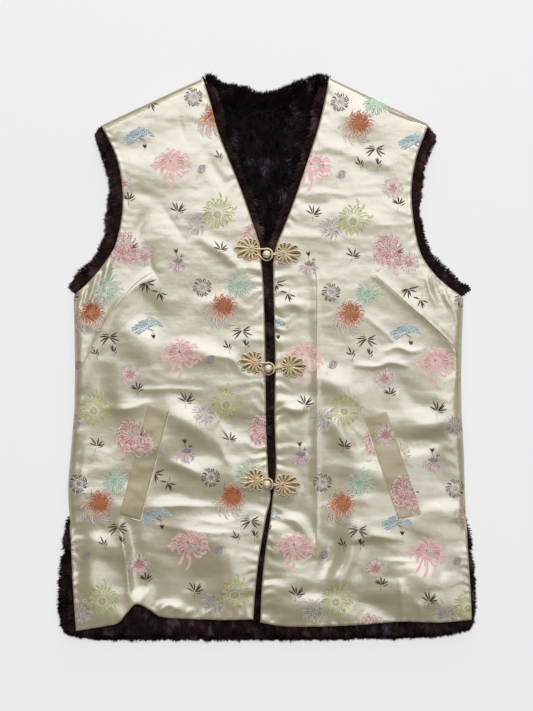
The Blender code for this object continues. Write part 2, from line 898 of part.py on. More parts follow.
def frog_flower(name, x, y, outward, panel):
    """One half of a frog: a chrysanthemum of piping loops round a coil."""
    skin = outer_skin(panel)
    bm = bmesh.new()
    bmesh.ops.create_uvsphere(bm, u_segments=PETALS * 4, v_segments=6, radius=1)
    plan = {}
    for vertex in bm.verts:
        angle = math.atan2(vertex.co.y, vertex.co.x)
        share = math.atan2(math.hypot(vertex.co.x, vertex.co.y), abs(vertex.co.z)) / (math.pi / 2)
        tip = abs(math.cos(angle * PETALS / 2))
        away = petal_reach(angle, outward) * (1 - PETAL_NOTCH * (1 - tip)) * share
        rise = 0.0
        if vertex.co.z > -0.01:
            crest = FLOWER_RISE * (1 - PETAL_GROOVE * (1 - tip) * smoothstep(away, 0, HEART))
            rise = crest - (crest - PETAL_EDGE) * smoothstep(share, 0.6, 1.0)
        plan[vertex] = (x + away * math.cos(angle), y + away * math.sin(angle), rise)
    heights = [skin(px, py) or 0.0 for px, py, _ in plan.values()]
    floor = max(heights) + GAP
    for vertex, (px, py, rise) in plan.items():
        vertex.co = (px, py, floor + rise)
    bmesh.ops.recalc_face_normals(bm, faces=bm.faces)
    return add_object(name, bm, frog_satin())


def cord(name, route):
    """A satin cord along a route of points, with closed ends."""
    data = bpy.data.curves.new(name, "CURVE")
    data.dimensions = "3D"
    data.bevel_depth = CORD / 2 * MM
    data.bevel_resolution = 2
    data.use_fill_caps = True
    spline = data.splines.new("POLY")
    spline.points.add(len(route) - 1)
    for point, place in zip(spline.points, route):
        point.co = (*(Vector(place) * MM), 1)
    data.materials.append(frog_satin())
    made = bpy.data.objects.new(name, data)
    vest().objects.link(made)
    return made


def frog_button(name, frog):
    """The ball knot, which lies on the meeting fronts inside the loop."""
    bm = bmesh.new()
    bmesh.ops.create_uvsphere(bm, u_segments=12, v_segments=8, radius=BUTTON / 2)
    centre = (frog.button_x, frog.button_y, CALM_TOP + BUTTON / 2)
    bmesh.ops.translate(bm, vec=centre, verts=bm.verts)
    return add_object(name, bm, frog_satin())


def frog_loop(name, frog):
    """The loop, from its flower round the button, over the button's stem, and back."""
    low = CALM_TOP + CORD / 2
    high = low + CORD + GAP
    turn = []
    for k in range(LOOP_STEPS + 1):
        angle = LOOP_END * (1 - 2 * k / LOOP_STEPS)
        over = smoothstep(math.cos(angle), 0.2, 0.85)
        x = frog.button_x + LOOP_RADIUS * math.cos(angle)
        y = frog.button_y + LOOP_RADIUS * math.sin(angle)
        turn.append(Vector((x, y, low + (high - low) * over)))
    flower = Vector((frog.loop_x, frog.loop_y, low))
    ends = []
    for point in (turn[0], turn[-1]):
        angle = math.atan2(point.y - flower.y, point.x - flower.x)
        away = petal_reach(angle, math.pi) + FLOWER_GAP
        ends.append(flower + Vector((math.cos(angle), math.sin(angle), 0)) * away)
    return cord(name, [ends[0], *turn, ends[1]])


def frog_stem(name, frog):
    """The cord that ties the button to its flower, under the end of the loop."""
    height = CALM_TOP + CORD / 2
    start = frog.flower_x - INNER_PETAL - FLOWER_GAP
    end = frog.button_x + BUTTON / 2 - STEM_TUCK
    route = [
        (start + (end - start) * t, frog.flower_y + (frog.button_y - frog.flower_y) * t, height)
        for t in even(3)
    ]
    return cord(name, route)


def clear_scene():
    for thing in list(bpy.data.objects):
        bpy.data.objects.remove(thing, do_unlink=True)


def main():
    clear_scene()
    back_shell()
    back_lining()
    front_lining("right_front_lining", RIGHT_FRONT_FUR, side_sign=-1)
    front_lining("left_front_lining", LEFT_FRONT_FUR, side_sign=1)
    right = front_shell("right_front_shell", RIGHT_FRONT, RIGHT_FOLDS)
    left = front_shell("left_front_shell", LEFT_FRONT, LEFT_FOLDS)
    pocket_welt("right_pocket_welt", RIGHT_WELT, right)
    pocket_welt("left_pocket_welt", LEFT_WELT, left)
    for frog in FROGS:
        frog_flower(f"{frog.name}_loop_flower", frog.loop_x, frog.loop_y, math.pi, right)
        frog_flower(f"{frog.name}_button_flower", frog.flower_x, frog.flower_y, 0.0, left)
        frog_loop(f"{frog.name}_loop", frog)
        frog_stem(f"{frog.name}_stem", frog)
        frog_button(f"{frog.name}_button", frog)


main()
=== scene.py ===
"""The looks of a fur-lined satin brocade vest that lies on its back, seen from straight above.

Plan positions are in millimetres, as in the model's own frame: +X is the wearer's left and +Y the
neck. Each piece is turned into metres when its mesh is made.
"""

import math
from collections import namedtuple
from functools import cache

import bpy
import numpy as np
from mathutils import Matrix, Vector, noise
from mathutils.bvhtree import BVHTree


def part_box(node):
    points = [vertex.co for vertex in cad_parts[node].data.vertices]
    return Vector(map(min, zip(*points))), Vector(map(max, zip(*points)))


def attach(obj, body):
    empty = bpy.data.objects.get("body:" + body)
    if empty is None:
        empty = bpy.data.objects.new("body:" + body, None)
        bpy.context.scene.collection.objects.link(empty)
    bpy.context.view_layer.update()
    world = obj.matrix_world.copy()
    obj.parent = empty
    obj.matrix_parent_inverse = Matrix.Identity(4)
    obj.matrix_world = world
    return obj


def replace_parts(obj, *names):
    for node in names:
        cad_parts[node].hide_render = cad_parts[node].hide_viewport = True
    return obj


MM = 0.001
FRAME_WIDTH, FRAME_HEIGHT = 533, 711  # the picture's frame in pixels
PIXEL = 1.25  # mm of the vest in a pixel
MIDDLE_PIXEL = (267.75, 357.0)  # the model's origin in the picture
CAMERA_HEIGHT = 3000.0
SENSOR = 36.0
FLOOR_Z = -0.3
FLOOR_SIZE = 36.0  # metres, so that its edge is out of sight in low views
FLOOR_GLOW = 0.718
FAR_CLIP = 60.0
ROOM_COLOUR, ROOM_LIGHT = (1.0, 0.98, 0.95, 1), 0.12
LAMPS = (  # name, where it stands, where it points, its sides and its watts
    ("softbox", (0.1, 1.66, 3.5), (0, 0, 0), (3.0, 3.1), 122),
    ("window", (0.95, -0.55, 3.2), (0.1, -0.25, 0), (0.7, 1.2), 9),
    ("raking", (0.35, 2.35, 1.1), (0, 0, 0), (2.4, 0.7), 50),
)

# The model's layers, as its solids have them
BACK_FUR_TOP = 11.5
FRONT_FUR_TOP = 21.8
FRONT_TOP = 23.3
SEAM_Z = 11.65
SEAM_EDGE = 0.45
GAP = 0.3
ROLL = 9.0  # how far in from a seam the cloth turns down
SLIT_OPENING = 12.0

# The two fronts' edges, each from the hem up or from the middle out
RIGHT_EDGES = {
    "opening": (
        (-18, -328), (-15, -286.5), (-9.5, -243), (-1.5, -199), (3.5, -176.5), (0.5, -143),
        (-2, -80), (-3, 7), (-5, 82), (-7.5, 117),
    ),
    "neckline": (
        (-7.5, 117), (-10, 138.5), (-19.5, 169.5), (-32.5, 207), (-62, 282), (-72, 319.5),
        (-81.5, 349.5),
    ),
    "shoulder": ((-81.5, 349.5), (-118, 333), (-173, 307.5), (-208.5, 290.5)),
    "slit": ((-240, -343), (-242, -311.5), (-244.5, -274), (-246, -236.5), (-248.5, -205)),
    "side": ((-248.5, -205), (-250.5, -165), (-247, -118), (-243, -74), (-242, -10), (-243.5, 76)),
    "armhole": (
        (-243.5, 76), (-224.5, 93.5), (-204.5, 117), (-190, 142), (-181.5, 195), (-188, 245),
        (-208.5, 290.5),
    ),
    "hem": (
        (-18, -328), (-52, -329), (-107, -327.5), (-134, -325), (-147, -317), (-164.5, -309),
        (-176.5, -321), (-187, -332.5), (-208, -337.5), (-240, -343),
    ),
}
LEFT_EDGES = {
    "opening": (
        (-9.5, -332), (-7.5, -286.5), (-3, -243), (3.5, -199), (6, -176.5), (10, -143),
        (8.5, -80), (9, 7), (7, 82), (6.5, 117),
    ),
    "neckline": (
        (6.5, 117), (10.5, 138.5), (23, 169.5), (37, 207), (61.5, 282), (71, 319.5), (77, 350.5),
    ),
    "shoulder": ((77, 350.5), (110, 335), (165, 309), (201.5, 292)),
    "slit": ((255, -328.5), (253.5, -293), (251.5, -261.5), (250, -236.5), (249, -208)),
    "side": ((249, -208), (247.5, -170), (246, -118), (243, -60), (243, 0), (245.5, 73.5)),
    "armhole": (
        (245.5, 73.5), (228, 86.5), (208, 104.5), (190, 134), (180, 198), (185, 245),
        (201.5, 292),
    ),
    "hem": (
        (-9.5, -332), (20, -337), (64, -337), (115.5, -335), (169.5, -331), (217, -332),
        (255, -328.5),
    ),
}

# Folds of the satin. Each row has its reach to the sides, its rise, and X and Y of points along it.
RIGHT_FOLDS = (
    (5, 2.4, -239, -38, -226, -6, -206, 34, -184, 70, -147, 100),
    (3.4, 3.4, -229, 86, -236, 60, -240, 34),
    (3.2, -2.4, -221, 95, -230, 66, -238, 40),
    (3.6, 4.2, -214, 102, -223, 72, -234, 48),
    (3.2, -2.6, -206, 110, -214, 82, -224, 58),
    (4.0, 3.8, -198, 122, -206, 92, -215, 68),
    (5, -1.6, -188, 128, -194, 104, -202, 82),
    (4, 1.6, -230, 20, -238, -6, -240, -30),
    (30, 1.5, -165, 215, -138, 240, -110, 250),
    (18, 0.7, -150, 168, -120, 150, -92, 132),
    (5, -1.2, -132, 190, -119, 168, -105, 148),
    (5, -1.2, -110, 304, -107, 284, -101, 266),
    (7, -1.6, -78, 256, -66, 234, -53, 215),
    (7, -1.6, -151, 178, -160, 164, -166, 150),
    (7, 1.8, -83, 147, -58, 132, -36, 112),
    (4.5, -2.0, -148, 130, -146, 112, -138, 97),
    (12, -1.6, -196, 272, -180, 258, -150, 262),
    (7, -1.2, -184, 200, -160, 205, -140, 196),
    (7, 1.3, -60, 196, -74, 182, -96, 180),
    (3, 1.1, -166, -42, -125, -40, -84, -42),
    (4.5, 2.0, -206, -64, -176, -65, -152, -58),
    (4, 2.0, -70, 3, -44, -3, -29, -19, -5, -25),
    (14, -2.6, -204, -25, -203, -60, -203, -104),
    (13, 2.2, -112, 12, -84, 4, -60, -6),
    (22, 2.4, -178, 40, -156, 12, -150, -12),
    (14, -1.8, -160, 78, -148, 62, -150, 40),
    (16, 3.2, -116, -72, -96, -84, -70, -98),
    (12, -2.2, -62, -76, -44, -84, -24, -82),
    (7, 2.0, -122, -132, -100, -140, -80, -151),
    (4, 1.4, -59, -112, -54, -124, -48, -134),
    (4.5, 1.7, -150, -190, -110, -186, -60, -187),
    (3, 0.9, -140, -210, -90, -218, -26, -221),
    (5, 3.4, -186, -208, -182, -226, -178, -250, -173, -300),
    (9, -2.0, -170, -214, -164, -260, -156, -296),
    (22, 3.0, -60, -240, -50, -270, -42, -300),
    (18, -1.8, -120, -236, -106, -262, -96, -290),
    (8, -1.8, -232, -222, -236, -260, -238, -308),
    (10, 2.0, -214, -232, -220, -264, -218, -304),
    (9, 3.4, -168, -318, -160, -304, -150, -290),
    (5, 2.0, -140, -318, -124, -310, -108, -316),
    (2.6, 1.7, -136, -325, -134, -317, -128, -310),
    (2.6, 1.7, -122, -327, -119, -318, -112, -312),
    (2.6, 1.4, -104, -327, -100, -319, -92, -315),
    (2.8, 1.2, -84, -328, -79, -321, -70, -318),
    (22, 1.8, -150, 290, -126, 300, -104, 306),
    (5, 1.8, -228, -110, -232, -150, -236, -184),
    (9, 1.4, -30, 60, -52, 70, -84, 64),
    (6, 1.6, -24, -196, -56, -206, -84, -204),
)
LEFT_FOLDS = (
    (5, 2.4, 239, -26, 232, 12, 207, 40, 176, 66, 136, 100),
    (2.6, 1.5, 220, 84, 226, 68, 236, 54),
    (3.4, -1.0, 208, 94, 213, 78, 222, 64),
    (3.0, 1.4, 198, 102, 202, 84, 210, 66),
    (2.6, 1.3, 232, 80, 238, 66, 243, 52),
    (6, 2.0, 150, 190, 164, 184, 180, 178),
    (2.2, 0.6, 50, 203, 74, 205, 96, 203, 132, 206),
    (9, -1.7, 44, 194, 60, 190, 76, 191),
    (10, 1.2, 82, 182, 116, 172, 150, 168),
    (2.6, 1.0, 140, 164, 162, 165, 184, 166),
    (7, 0.9, 20, 152, 48, 152, 84, 146),
    (8, 1.8, 62, 268, 84, 262, 112, 250, 150, 240),
    (16, -2.0, 104, 276, 110, 252, 126, 230),
    (2.4, 0.8, 122, 50, 140, 36, 160, 18),
    (3.4, 2.1, 148, 8, 164, 12, 178, 7, 194, 9),
    (3.6, 2.3, 112, -11, 137, -12, 152, -7, 174, -11),
    (14, 2.2, 70, -30, 92, -40, 112, -46),
    (3.0, 1.5, 59, 98, 61, 20, 61, -80, 61, -170, 60, -248),
    (6, -1.0, 50, 96, 52, 20, 52, -80, 52, -170),
    (13, 2.8, 80, -74, 92, -96, 108, -120),
    (5, 1.8, 104, -92, 114, -102, 126, -116),
    (10, -2.4, 176, -112, 202, -106, 232, -95),
    (9, 1.8, 176, -92, 204, -86, 234, -78),
    (4.5, 2.0, 108, -230, 134, -224, 168, -228),
    (2.6, 0.9, 140, -254, 166, -255, 190, -254),
    (12, -3.0, 88, -214, 78, -248, 64, -284),
    (12, 2.4, 104, -212, 100, -250, 84, -286),
    (24, 3.0, 150, -262, 182, -272, 214, -284),
    (12, -2.8, 112, -304, 134, -312, 156, -320),
    (3.5, 2.2, 166, -282, 168, -306, 169, -330),
    (4, 1.6, 218, -322, 214, -308, 206, -300),
    (4, 1.4, 192, -326, 190, -314, 184, -306),
    (14, 2.0, 222, -40, 226, -80, 226, -120),
    (12, -1.6, 168, -40, 182, -56, 200, -60),
    (20, 1.8, 100, 306, 124, 300, 146, 286),
    (5, -1.6, 112, 330, 146, 312, 180, 294),
    (7, 2.2, 20, -60, 34, -66, 52, -60),
    (7, 1.6, 14, 60, 30, 66, 50, 60),
    (7, 2.2, 18, -196, 38, -208, 56, -232),
    (10, -1.6, 30, -300, 48, -292, 66, -300),
    (48, 2.6, 40, -316, 120, -320, 220, -314),
    (34, 1.6, 90, -196, 150, -206, 230, -200),
)

# Sewn lines that show on the fronts
RIGHT_SEAMS = (
    ((-145, 106), (-165, 92), (-187, 66), (-206, 40), (-220, 12), (-230, -10), (-239, -36)),
)
LEFT_SEAMS = (
    ((134, 103), (156, 84), (177, 65), (202, 43), (231, 15), (239, 0)),
    ((57, 124), (60, 108), (61, 60), (61, -80), (61, -170), (60, -249)),
)

# How the fronts are gathered at their edges: spacing, reach and rise
GATHERS = (
    ("opening", 14.5, 15, 0.95), ("hem", 17, 9, 0.9), ("slit", 11, 8, 0.8),
    ("armhole", 13, 8, 0.5), ("neckline", 15, 10, 0.5), ("side", 15, 11, 0.7),
)
OPEN_EDGES = ("opening", "neckline", "armhole", "hem", "slit")
VALLEY = 2.2  # the cloth sinks no deeper before it meets the fur
TURNED = np.array([0.0, 0.35, 0.9, 1.7])  # distances from an open edge over which it turns down
LOW_ROWS, HIGH_ROWS, COLUMN = 190, 104, 2.1
WELT_ROWS, WELT_COLUMNS = 96, 24

# Pocket welts by their corners: top inner, top outer, foot inner, foot outer
RIGHT_WELT = ((-122, -67), (-150.5, -59), (-159, -205), (-186.5, -197.5))
LEFT_WELT = ((119.5, -74.5), (149.5, -67), (163, -204), (194, -198.5))

# Frog closures, as the solids have them
Frog = namedtuple("Frog", "name loop button flower")
FROGS = (
    Frog("top", (-20.4, 135), (-1.4, 128), (19.8, 129.5)),
    Frog("middle", (-15.5, -6.5), (0.8, -14.5), (26, -12)),
    Frog("bottom", (-14, -154), (-1, -159), (18.5, -160)),
)
LONG_PETAL, SHORT_PETAL, INNER_PETAL = 22.5, 14.5, 8.5
PETAL_CORD = 0.9
PETALS = 13
COIL, COIL_TURNS = 4.0, 1.9
LINED_PETAL = 8.0  # petals from this length have a finer cord inside
CORD = 2.3
BUTTON = 11.0
STRAND = 1.75
# The turns of a button's knot: tilt and swing in degrees, and shift along its axis
KNOT = (
    (0, 0, -1.6), (0, 0, 1.6), (64, 20, 0.9), (64, 80, -0.9),
    (64, 140, 0.9), (64, 200, 1.2), (64, 260, -1.2), (64, 320, 1.2),
)
LOOP_RADIUS = 7.4
LOOP_END = math.radians(112)
CALM_RADIUS, CALM_BLEND = 27.0, 8.0
CALM_TOP = FRONT_TOP + 2 * GAP

# Brocade: the repeat's size, and on each front its start, its lean and its reach in X
REPEAT = (166.0, 238.0)
WEAVE_END = 390
Weave = namedtuple("Weave", "origin lean reach")
RIGHT_WEAVE = Weave((-108.8, 1.5), 2.6, (-290, 40))
LEFT_WEAVE = Weave((44.7, -2.0), -2.6, (-40, 290))

SATIN = (0.345, 0.299, 0.192)
WELT_SATIN = (0.31, 0.265, 0.15)
# a satin a little darker than the shell: painted shade along the sewn lines
SEAM_SHADE_SATIN = (0.33, 0.28, 0.18)
# painted highlight: a pale satin for the welts' edges, the bright line where their folds catch the light
EDGE_HIGHLIGHT_SATIN = (0.66, 0.60, 0.48)
# painted shade: a darker, duller satin for the strip along each shoulder, standing in for the shade on
# the roll of the cloth there
SHOULDER_SHADE_SATIN = (0.20, 0.168, 0.10)
# Shares of each shoulder's length, with the width there of the band of painted shade
SHOULDER_SHADE_BANDS = {
    "right": ((0, 3.2), (0.5, 3.8), (1, 2.6)),
    "left": ((0, 1.6), (0.4, 2.0), (0.62, 9.0), (0.8, 7.0), (1, 1.5)),
}
FROG_GOLD = (0.50, 0.415, 0.25)
# painted shade: near-black for a sheet under the frogs' petals, where there is only the shade between the
# cords
FROG_PAINTED_SHADE = (0.045, 0.03, 0.016)
BUTTON_GOLD = (0.58, 0.50, 0.35)
# near-black hair whose highest stops are painted blue-grey highlights, glints on the fur
COOL_HAIR_AND_GLINTS = (
    (0.0, (0.0012, 0.0007, 0.0008)),
    (0.45, (0.005, 0.003, 0.0035)),
    (0.7, (0.02, 0.017, 0.025)),
    (1.0, (0.11, 0.115, 0.17)),
)
WARM_HAIR = ((0.0, (0.004, 0.0015, 0.0014)), (0.5, (0.019, 0.0075, 0.0072)), (1.0, (0.07, 0.034, 0.033)))
THREADS = {
    "pink": (0.68, 0.365, 0.35),
    "rose": (0.38, 0.075, 0.10),
    "rust": (0.44, 0.15, 0.06),
    "brick": (0.22, 0.065, 0.03),
    "mint": (0.23, 0.385, 0.26),
    "jade": (0.11, 0.235, 0.16),
    "lime": (0.37, 0.40, 0.105),
    "blue": (0.14, 0.31, 0.385),
    "lilac": (0.34, 0.29, 0.31),
    "slate": (0.20, 0.17, 0.17),
    "brown": (0.066, 0.032, 0.02),
    "pale": (0.64, 0.58, 0.52),
}


def cubic(points, steps=16):
    """Points along a curve that passes smoothly through the given ones."""
    knots = np.asarray(points, float)
    at = running(knots)
    slopes = np.empty_like(knots)
    for i in range(len(knots)):
        low, high = max(i - 1, 0), min(i + 1, len(knots) - 1)
        slopes[i] = (knots[high] - knots[low]) / (at[high] - at[low])
    line = []
    for i in range(len(knots) - 1):
        span = at[i + 1] - at[i]
        t = np.linspace(0, 1, steps, endpoint=False)[:, None]
        line.append(
            knots[i] * (1 + 2 * t) * (1 - t) ** 2
            + slopes[i] * span * t * (1 - t) ** 2
            + knots[i + 1] * t * t * (3 - 2 * t)
            + slopes[i + 1] * span * t * t * (t - 1)
        )
    return np.concatenate([*line, knots[-1:]])


def running(line):
    """Length along a line of points, from its first."""
    steps = np.linalg.norm(np.diff(line, axis=0), axis=1)
    return np.concatenate(([0.0], np.cumsum(steps)))


def at_shares(line, shares):
    """The points at these shares of a line's length."""
    run = running(line)
    want = np.asarray(shares) * run[-1]
    return np.column_stack([np.interp(want, run, line[:, k]) for k in range(line.shape[1])])


def smoothstep(value, low, high):
    t = np.clip((value - low) / (high - low), 0.0, 1.0)
    return t * t * (3 - 2 * t)


def from_line(points, line):
    """Distance from each point to a line of points, and the share of the line nearest to it."""
    run = running(line)
    best = np.full(len(points), np.inf)
    share = np.zeros(len(points))
    for k in range(len(line) - 1):
        stretch = line[k + 1] - line[k]
        t = np.clip((points - line[k]) @ stretch / (stretch @ stretch), 0, 1)
        away = np.linalg.norm(points - line[k] - t[:, None] * stretch, axis=1)
        nearer = away < best
        best[nearer] = away[nearer]
        share[nearer] = ((run[k] + t * (run[k + 1] - run[k])) / run[-1])[nearer]
    return best, share


def rough(points, size, seed):
    """Smooth noise at plan points, from -1 to 1. size gives its scale in X and Y."""
    return np.array([noise.noise(Vector((x / size[0], y / size[1], seed))) for x, y in points])


# Pieces


def mesh_piece(name, verts, faces, slot, stuff):
    """A piece of the vest from points in millimetres and faces."""
    used, corners = np.unique(faces, return_inverse=True)
    verts = np.asarray(verts, dtype=np.float32)[used] * MM
    mesh = bpy.data.meshes.new(name)
    mesh.from_pydata(verts.tolist(), [], corners.reshape(np.shape(faces)).tolist())
    mesh.validate()
    mesh.shade_smooth()
    mesh.materials.append(stuff)
    return place(bpy.data.objects.new(name, mesh))


def place(piece):
    bpy.context.scene.collection.objects.link(piece)
    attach(piece, "root")
    return piece


def copied(name, solid, stuff):
    """A piece with a copy of a solid's mesh."""
    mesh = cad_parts[solid].data.copy()
    mesh.name = name
    mesh.materials.clear()
    mesh.materials.append(stuff)
    return place(bpy.data.objects.new(name, mesh))


def grid_faces(rows, columns, flip):
    """Faces of a grid of points, which look up if it runs up and right, or if flip up and left."""
    first = (np.arange(rows - 1)[:, None] * columns + np.arange(columns - 1)).ravel()
    faces = np.column_stack([first, first + 1, first + columns + 1, first + columns])
    return faces[:, ::-1] if flip else faces


def unit(ways, least=0.0):
    """These directions with a length of 1."""
    return ways / (np.linalg.norm(ways, axis=1)[:, None] + least)


def tube(path, radius, sides=8, closed=False):
    """Points and triangles of a round cord along a path, which nowhere runs straight up."""
    count = len(path)
    if closed:
        ahead = np.roll(path, -1, axis=0) - np.roll(path, 1, axis=0)
    else:
        ahead = np.gradient(path, axis=0)
    ahead = unit(ahead, 1e-9)
    side = unit(np.cross(ahead, (0, 0, 1.0)))
    over = np.cross(side, ahead)
    turn = np.linspace(0, 2 * math.pi, sides, endpoint=False)[None, :, None]
    rings = path[:, None] + radius * (np.cos(turn) * side[:, None] + np.sin(turn) * over[:, None])
    verts = rings.reshape(-1, 3)
    near = np.column_stack([np.arange(sides), (np.arange(sides) + 1) % sides])
    faces = []
    for i in range(count if closed else count - 1):
        (a, b), (d, c) = (near + i * sides).T, (near + (i + 1) % count * sides).T
        faces += [np.column_stack([a, b, c]), np.column_stack([a, c, d])]
    if not closed:
        for end, way in ((0, -1), (count - 1, 1)):
            rim = (near + end * sides)[:, ::way]
            faces.append(np.column_stack([rim, np.full(sides, len(verts))]))
            verts = np.vstack([verts, path[end]])
    return verts, np.vstack(faces)


def joined(parts):
    """One set of points and triangles from several."""
    starts = np.cumsum([0, *(len(points) for points, _ in parts)])
    faces = [triangles + start for (_, triangles), start in zip(parts, starts)]
    return np.vstack([points for points, _ in parts]), np.vstack(faces)


# Satin


def front_plan(edges):
    """Plan grid of a front, finer at its turned edges and at its rounded seams, with its edges."""
    lines = {name: cubic(points) for name, points in edges.items()}
    side_line = np.vstack([lines["slit"], lines["side"][1:]])
    rolled = ROLL * (1 - np.sin(np.radians([0, 15, 30, 45, 60, 75, 90])))

    def shares(length, spacing, start, end):
        inner = np.linspace(start[-1], length - end[0], round(length / spacing))
        return np.concatenate([start[:-1], inner, length - np.array(end[1:])]) / length

    def rows(low_line, high_line):
        low_length, high_length = running(low_line)[-1], running(high_line)[-1]
        low = shares(low_length, low_length / LOW_ROWS, TURNED, [0.0])
        high = shares(high_length, high_length / HIGH_ROWS, [0.0], rolled)
        return np.vstack([at_shares(low_line, low), at_shares(high_line, high)[1:]])

    left = rows(lines["opening"], lines["neckline"])
    right = rows(side_line, lines["armhole"])
    width = running(lines["hem"])[-1]
    ends = np.unique(np.round(np.concatenate([rolled[:-1], TURNED]), 2))[::-1]
    u = shares(width * 0.8, COLUMN, TURNED, ends)
    v = (running(left) / running(left)[-1] + running(right) / running(right)[-1]) / 2
    bottom = at_shares(lines["hem"], u)
    top = at_shares(lines["shoulder"], u)
    u, v = u[None, :, None], v[:, None, None]
    sides = left[:, None] * (1 - u) + right[:, None] * u
    crossed = bottom[None] * (1 - v) + top[None] * v
    corners = (
        left[0] * (1 - u) * (1 - v) + right[0] * u * (1 - v)
        + left[-1] * (1 - u) * v + right[-1] * u * v
    )
    return sides + crossed - corners, lines


def seam_drop(points, lines, height):
    """How far a front has turned down towards its side and shoulder seams."""
    drop = np.zeros(len(points))
    slit_top = lines["side"][0][1]
    below = lines["side"][:1] - (0, 2 * SLIT_OPENING)
    for line, open_end in ((np.vstack([below, lines["side"]]), True), (lines["shoulder"], False)):
        away, _ = from_line(points, line)
        lean = np.clip((ROLL - away) / ROLL, 0, 1)
        fall = height * (1 - np.sqrt(1 - lean * lean))
        if open_end:
            fall *= smoothstep(points[:, 1], slit_top - SLIT_OPENING, slit_top)
        drop = np.maximum(drop, fall)
    return drop


def folds_height(points, folds):
    """Height of the folds, with ends that fade. Narrow ones are creased and wide ones rounded."""
    rise = np.zeros(len(points))
    for reach, high, *way in folds:
        line = cubic(np.reshape(way, (-1, 2)), 6)
        away, share = from_line(points, line)
        taper = np.sin(math.pi * np.clip(0.12 + 0.76 * share, 0, 1)) ** 0.7
        gain = 0.95 + 0.35 * smoothstep(reach, 5, 14)
        out = away / reach
        shape = np.exp(-(out**2)) if reach > 6 else np.exp(0.3 - np.sqrt(out**2 + 0.09))
        rise += gain * high * taper * shape
    return rise


def calm(points):
    """1 on open cloth, falling to 0 under the frogs."""
    share = np.ones(len(points))
    for frog in FROGS:
        for middle in (frog.loop, frog.flower):
            away = np.linalg.norm(points - middle, axis=1)
            share *= smoothstep(away, CALM_RADIUS - CALM_BLEND - 8, CALM_RADIUS + CALM_BLEND - 6)
    return share


def ripples(points, line, spacing, reach, rise, seed):
    """Small gathers that run in from a sewn edge."""
    away, share = from_line(points, line)
    near = away < 4 * reach
    run = share[near] * running(line)[-1]
    wander = rough(np.column_stack([run, away[near]]), (spacing * 2.2, reach * 1.5), seed)
    strength = 0.55 + 0.75 * rough(np.column_stack([run, run * 0]), (spacing * 3, 9), seed + 5)
    height = np.zeros(len(points))
    waves = np.sin(2 * math.pi * (run / spacing + 0.9 * wander))
    height[near] = rise * strength * waves * np.exp(-away[near] / reach)
    return height


def satin_grid(name, solid, verts, rows, slot, stuff):
    """A grid of satin in a solid's place, with a tree that finds heights on it."""
    faces = grid_faces(rows, len(verts) // rows, name.startswith("right"))
    piece = mesh_piece(name, verts, faces, slot, stuff)
    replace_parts(piece, solid)
    return piece, BVHTree.FromPolygons(verts.tolist(), faces.tolist())


def front_satin(side, edges, folds, seed):
    """The satin of one front with its folds, gathers and turned edges."""
    plan, lines = front_plan(edges)
    points = plan.reshape(-1, 2)
    height = FRONT_TOP - SEAM_Z - SEAM_EDGE
    drop = seam_drop(points, lines, height)
    rise = folds_height(points, folds) * (1 - 0.35 * smoothstep(points[:, 1], 110, 190))
    slack = 1.75 - 1.35 * smoothstep(points[:, 1], -240, 140)
    for high, size, step in ((2.3 * slack, (85, 50), 0), (0.8 * slack, (40, 19), 2), (0.2, (15, 8), 3)):
        rise += high * rough(points, size, seed + step)
    for number, (edge, spacing, reach, high) in enumerate(GATHERS, 1):
        rise += ripples(points, lines[edge], spacing, reach, high, seed + 10 * number)
    rise = np.where(rise < -VALLEY, -VALLEY + 0.4 * (rise + VALLEY), rise)
    rise *= 0.25 + 0.75 * calm(points)
    away = np.min([from_line(points, lines[edge])[0] for edge in OPEN_EDGES], axis=0)
    turned = 1.1 * (1 - np.sqrt(1 - np.clip(1 - away / TURNED[-1], 0, 1) ** 2))
    welted = 0.32 * np.exp(-(((away - 2.2) / 1.1) ** 2))
    z = FRONT_TOP - drop + rise * (1 - drop / height) - 0.9 * np.exp(-away / 9) - turned + welted
    verts = np.column_stack([points, z])
    stuff = satin("shell satin", SATIN)
    name = f"{side}_front"
    return *satin_grid(f"{name}_satin", f"{name}_shell", verts, len(plan), "satin", stuff), lines


def pocket_welt(side, corners, tree):
    """A strip of satin over a slanted pocket: folded at its inner edge, sewn down at the others."""
    top_inner, top_outer, foot_inner, foot_outer = (np.array(c, float) for c in corners)
    length, width = np.linalg.norm(top_inner - foot_inner), np.linalg.norm(top_outer - top_inner)
    u = np.concatenate(([0, 0.4, 1.0, 1.7, 2.6, 3.6], np.linspace(4.8, width - 2, WELT_COLUMNS - 8)))
    u = np.concatenate((u, [width - 0.9, width])) / width
    v = np.linspace(0, 1, WELT_ROWS)[:, None, None]
    inner = foot_inner + (top_inner - foot_inner) * v
    outer = foot_outer + (top_outer - foot_outer) * v
    points = (inner + (outer - inner) * u[None, :, None]).reshape(-1, 2)
    u, v = np.tile(u, WELT_ROWS), np.repeat(v.ravel(), WELT_COLUMNS)
    sewn = np.minimum.reduce([(1 - u) * width, (1 - v) * length, v * length])
    fold = u * width
    high = 0.6 * smoothstep(sewn, -0.3, 3.5) + 0.5 * np.exp(-(((fold - 1.1) / 0.8) ** 2))
    high -= 1.0 * (1 - smoothstep(fold, -0.2, 0.7)) + 0.3 * np.exp(-(((fold - 3.4) / 0.9) ** 2))
    bed = np.array([surface(tree, x, y) for x, y in points])
    bed = smoothed(bed.reshape(WELT_ROWS, WELT_COLUMNS), 1).ravel()
    wave = 0.8 * rough(points, (19, 12), 71) * smoothstep(sewn, 0, 4)
    verts = np.column_stack([points, bed + high - 0.15 + np.maximum(wave, -0.2)])
    stuff = satin("welt satin", WELT_SATIN)
    name = f"{side}_pocket"
    return satin_grid(f"{name}_strip", f"{name}_welt", verts, WELT_ROWS, "welt_satin", stuff)[1]


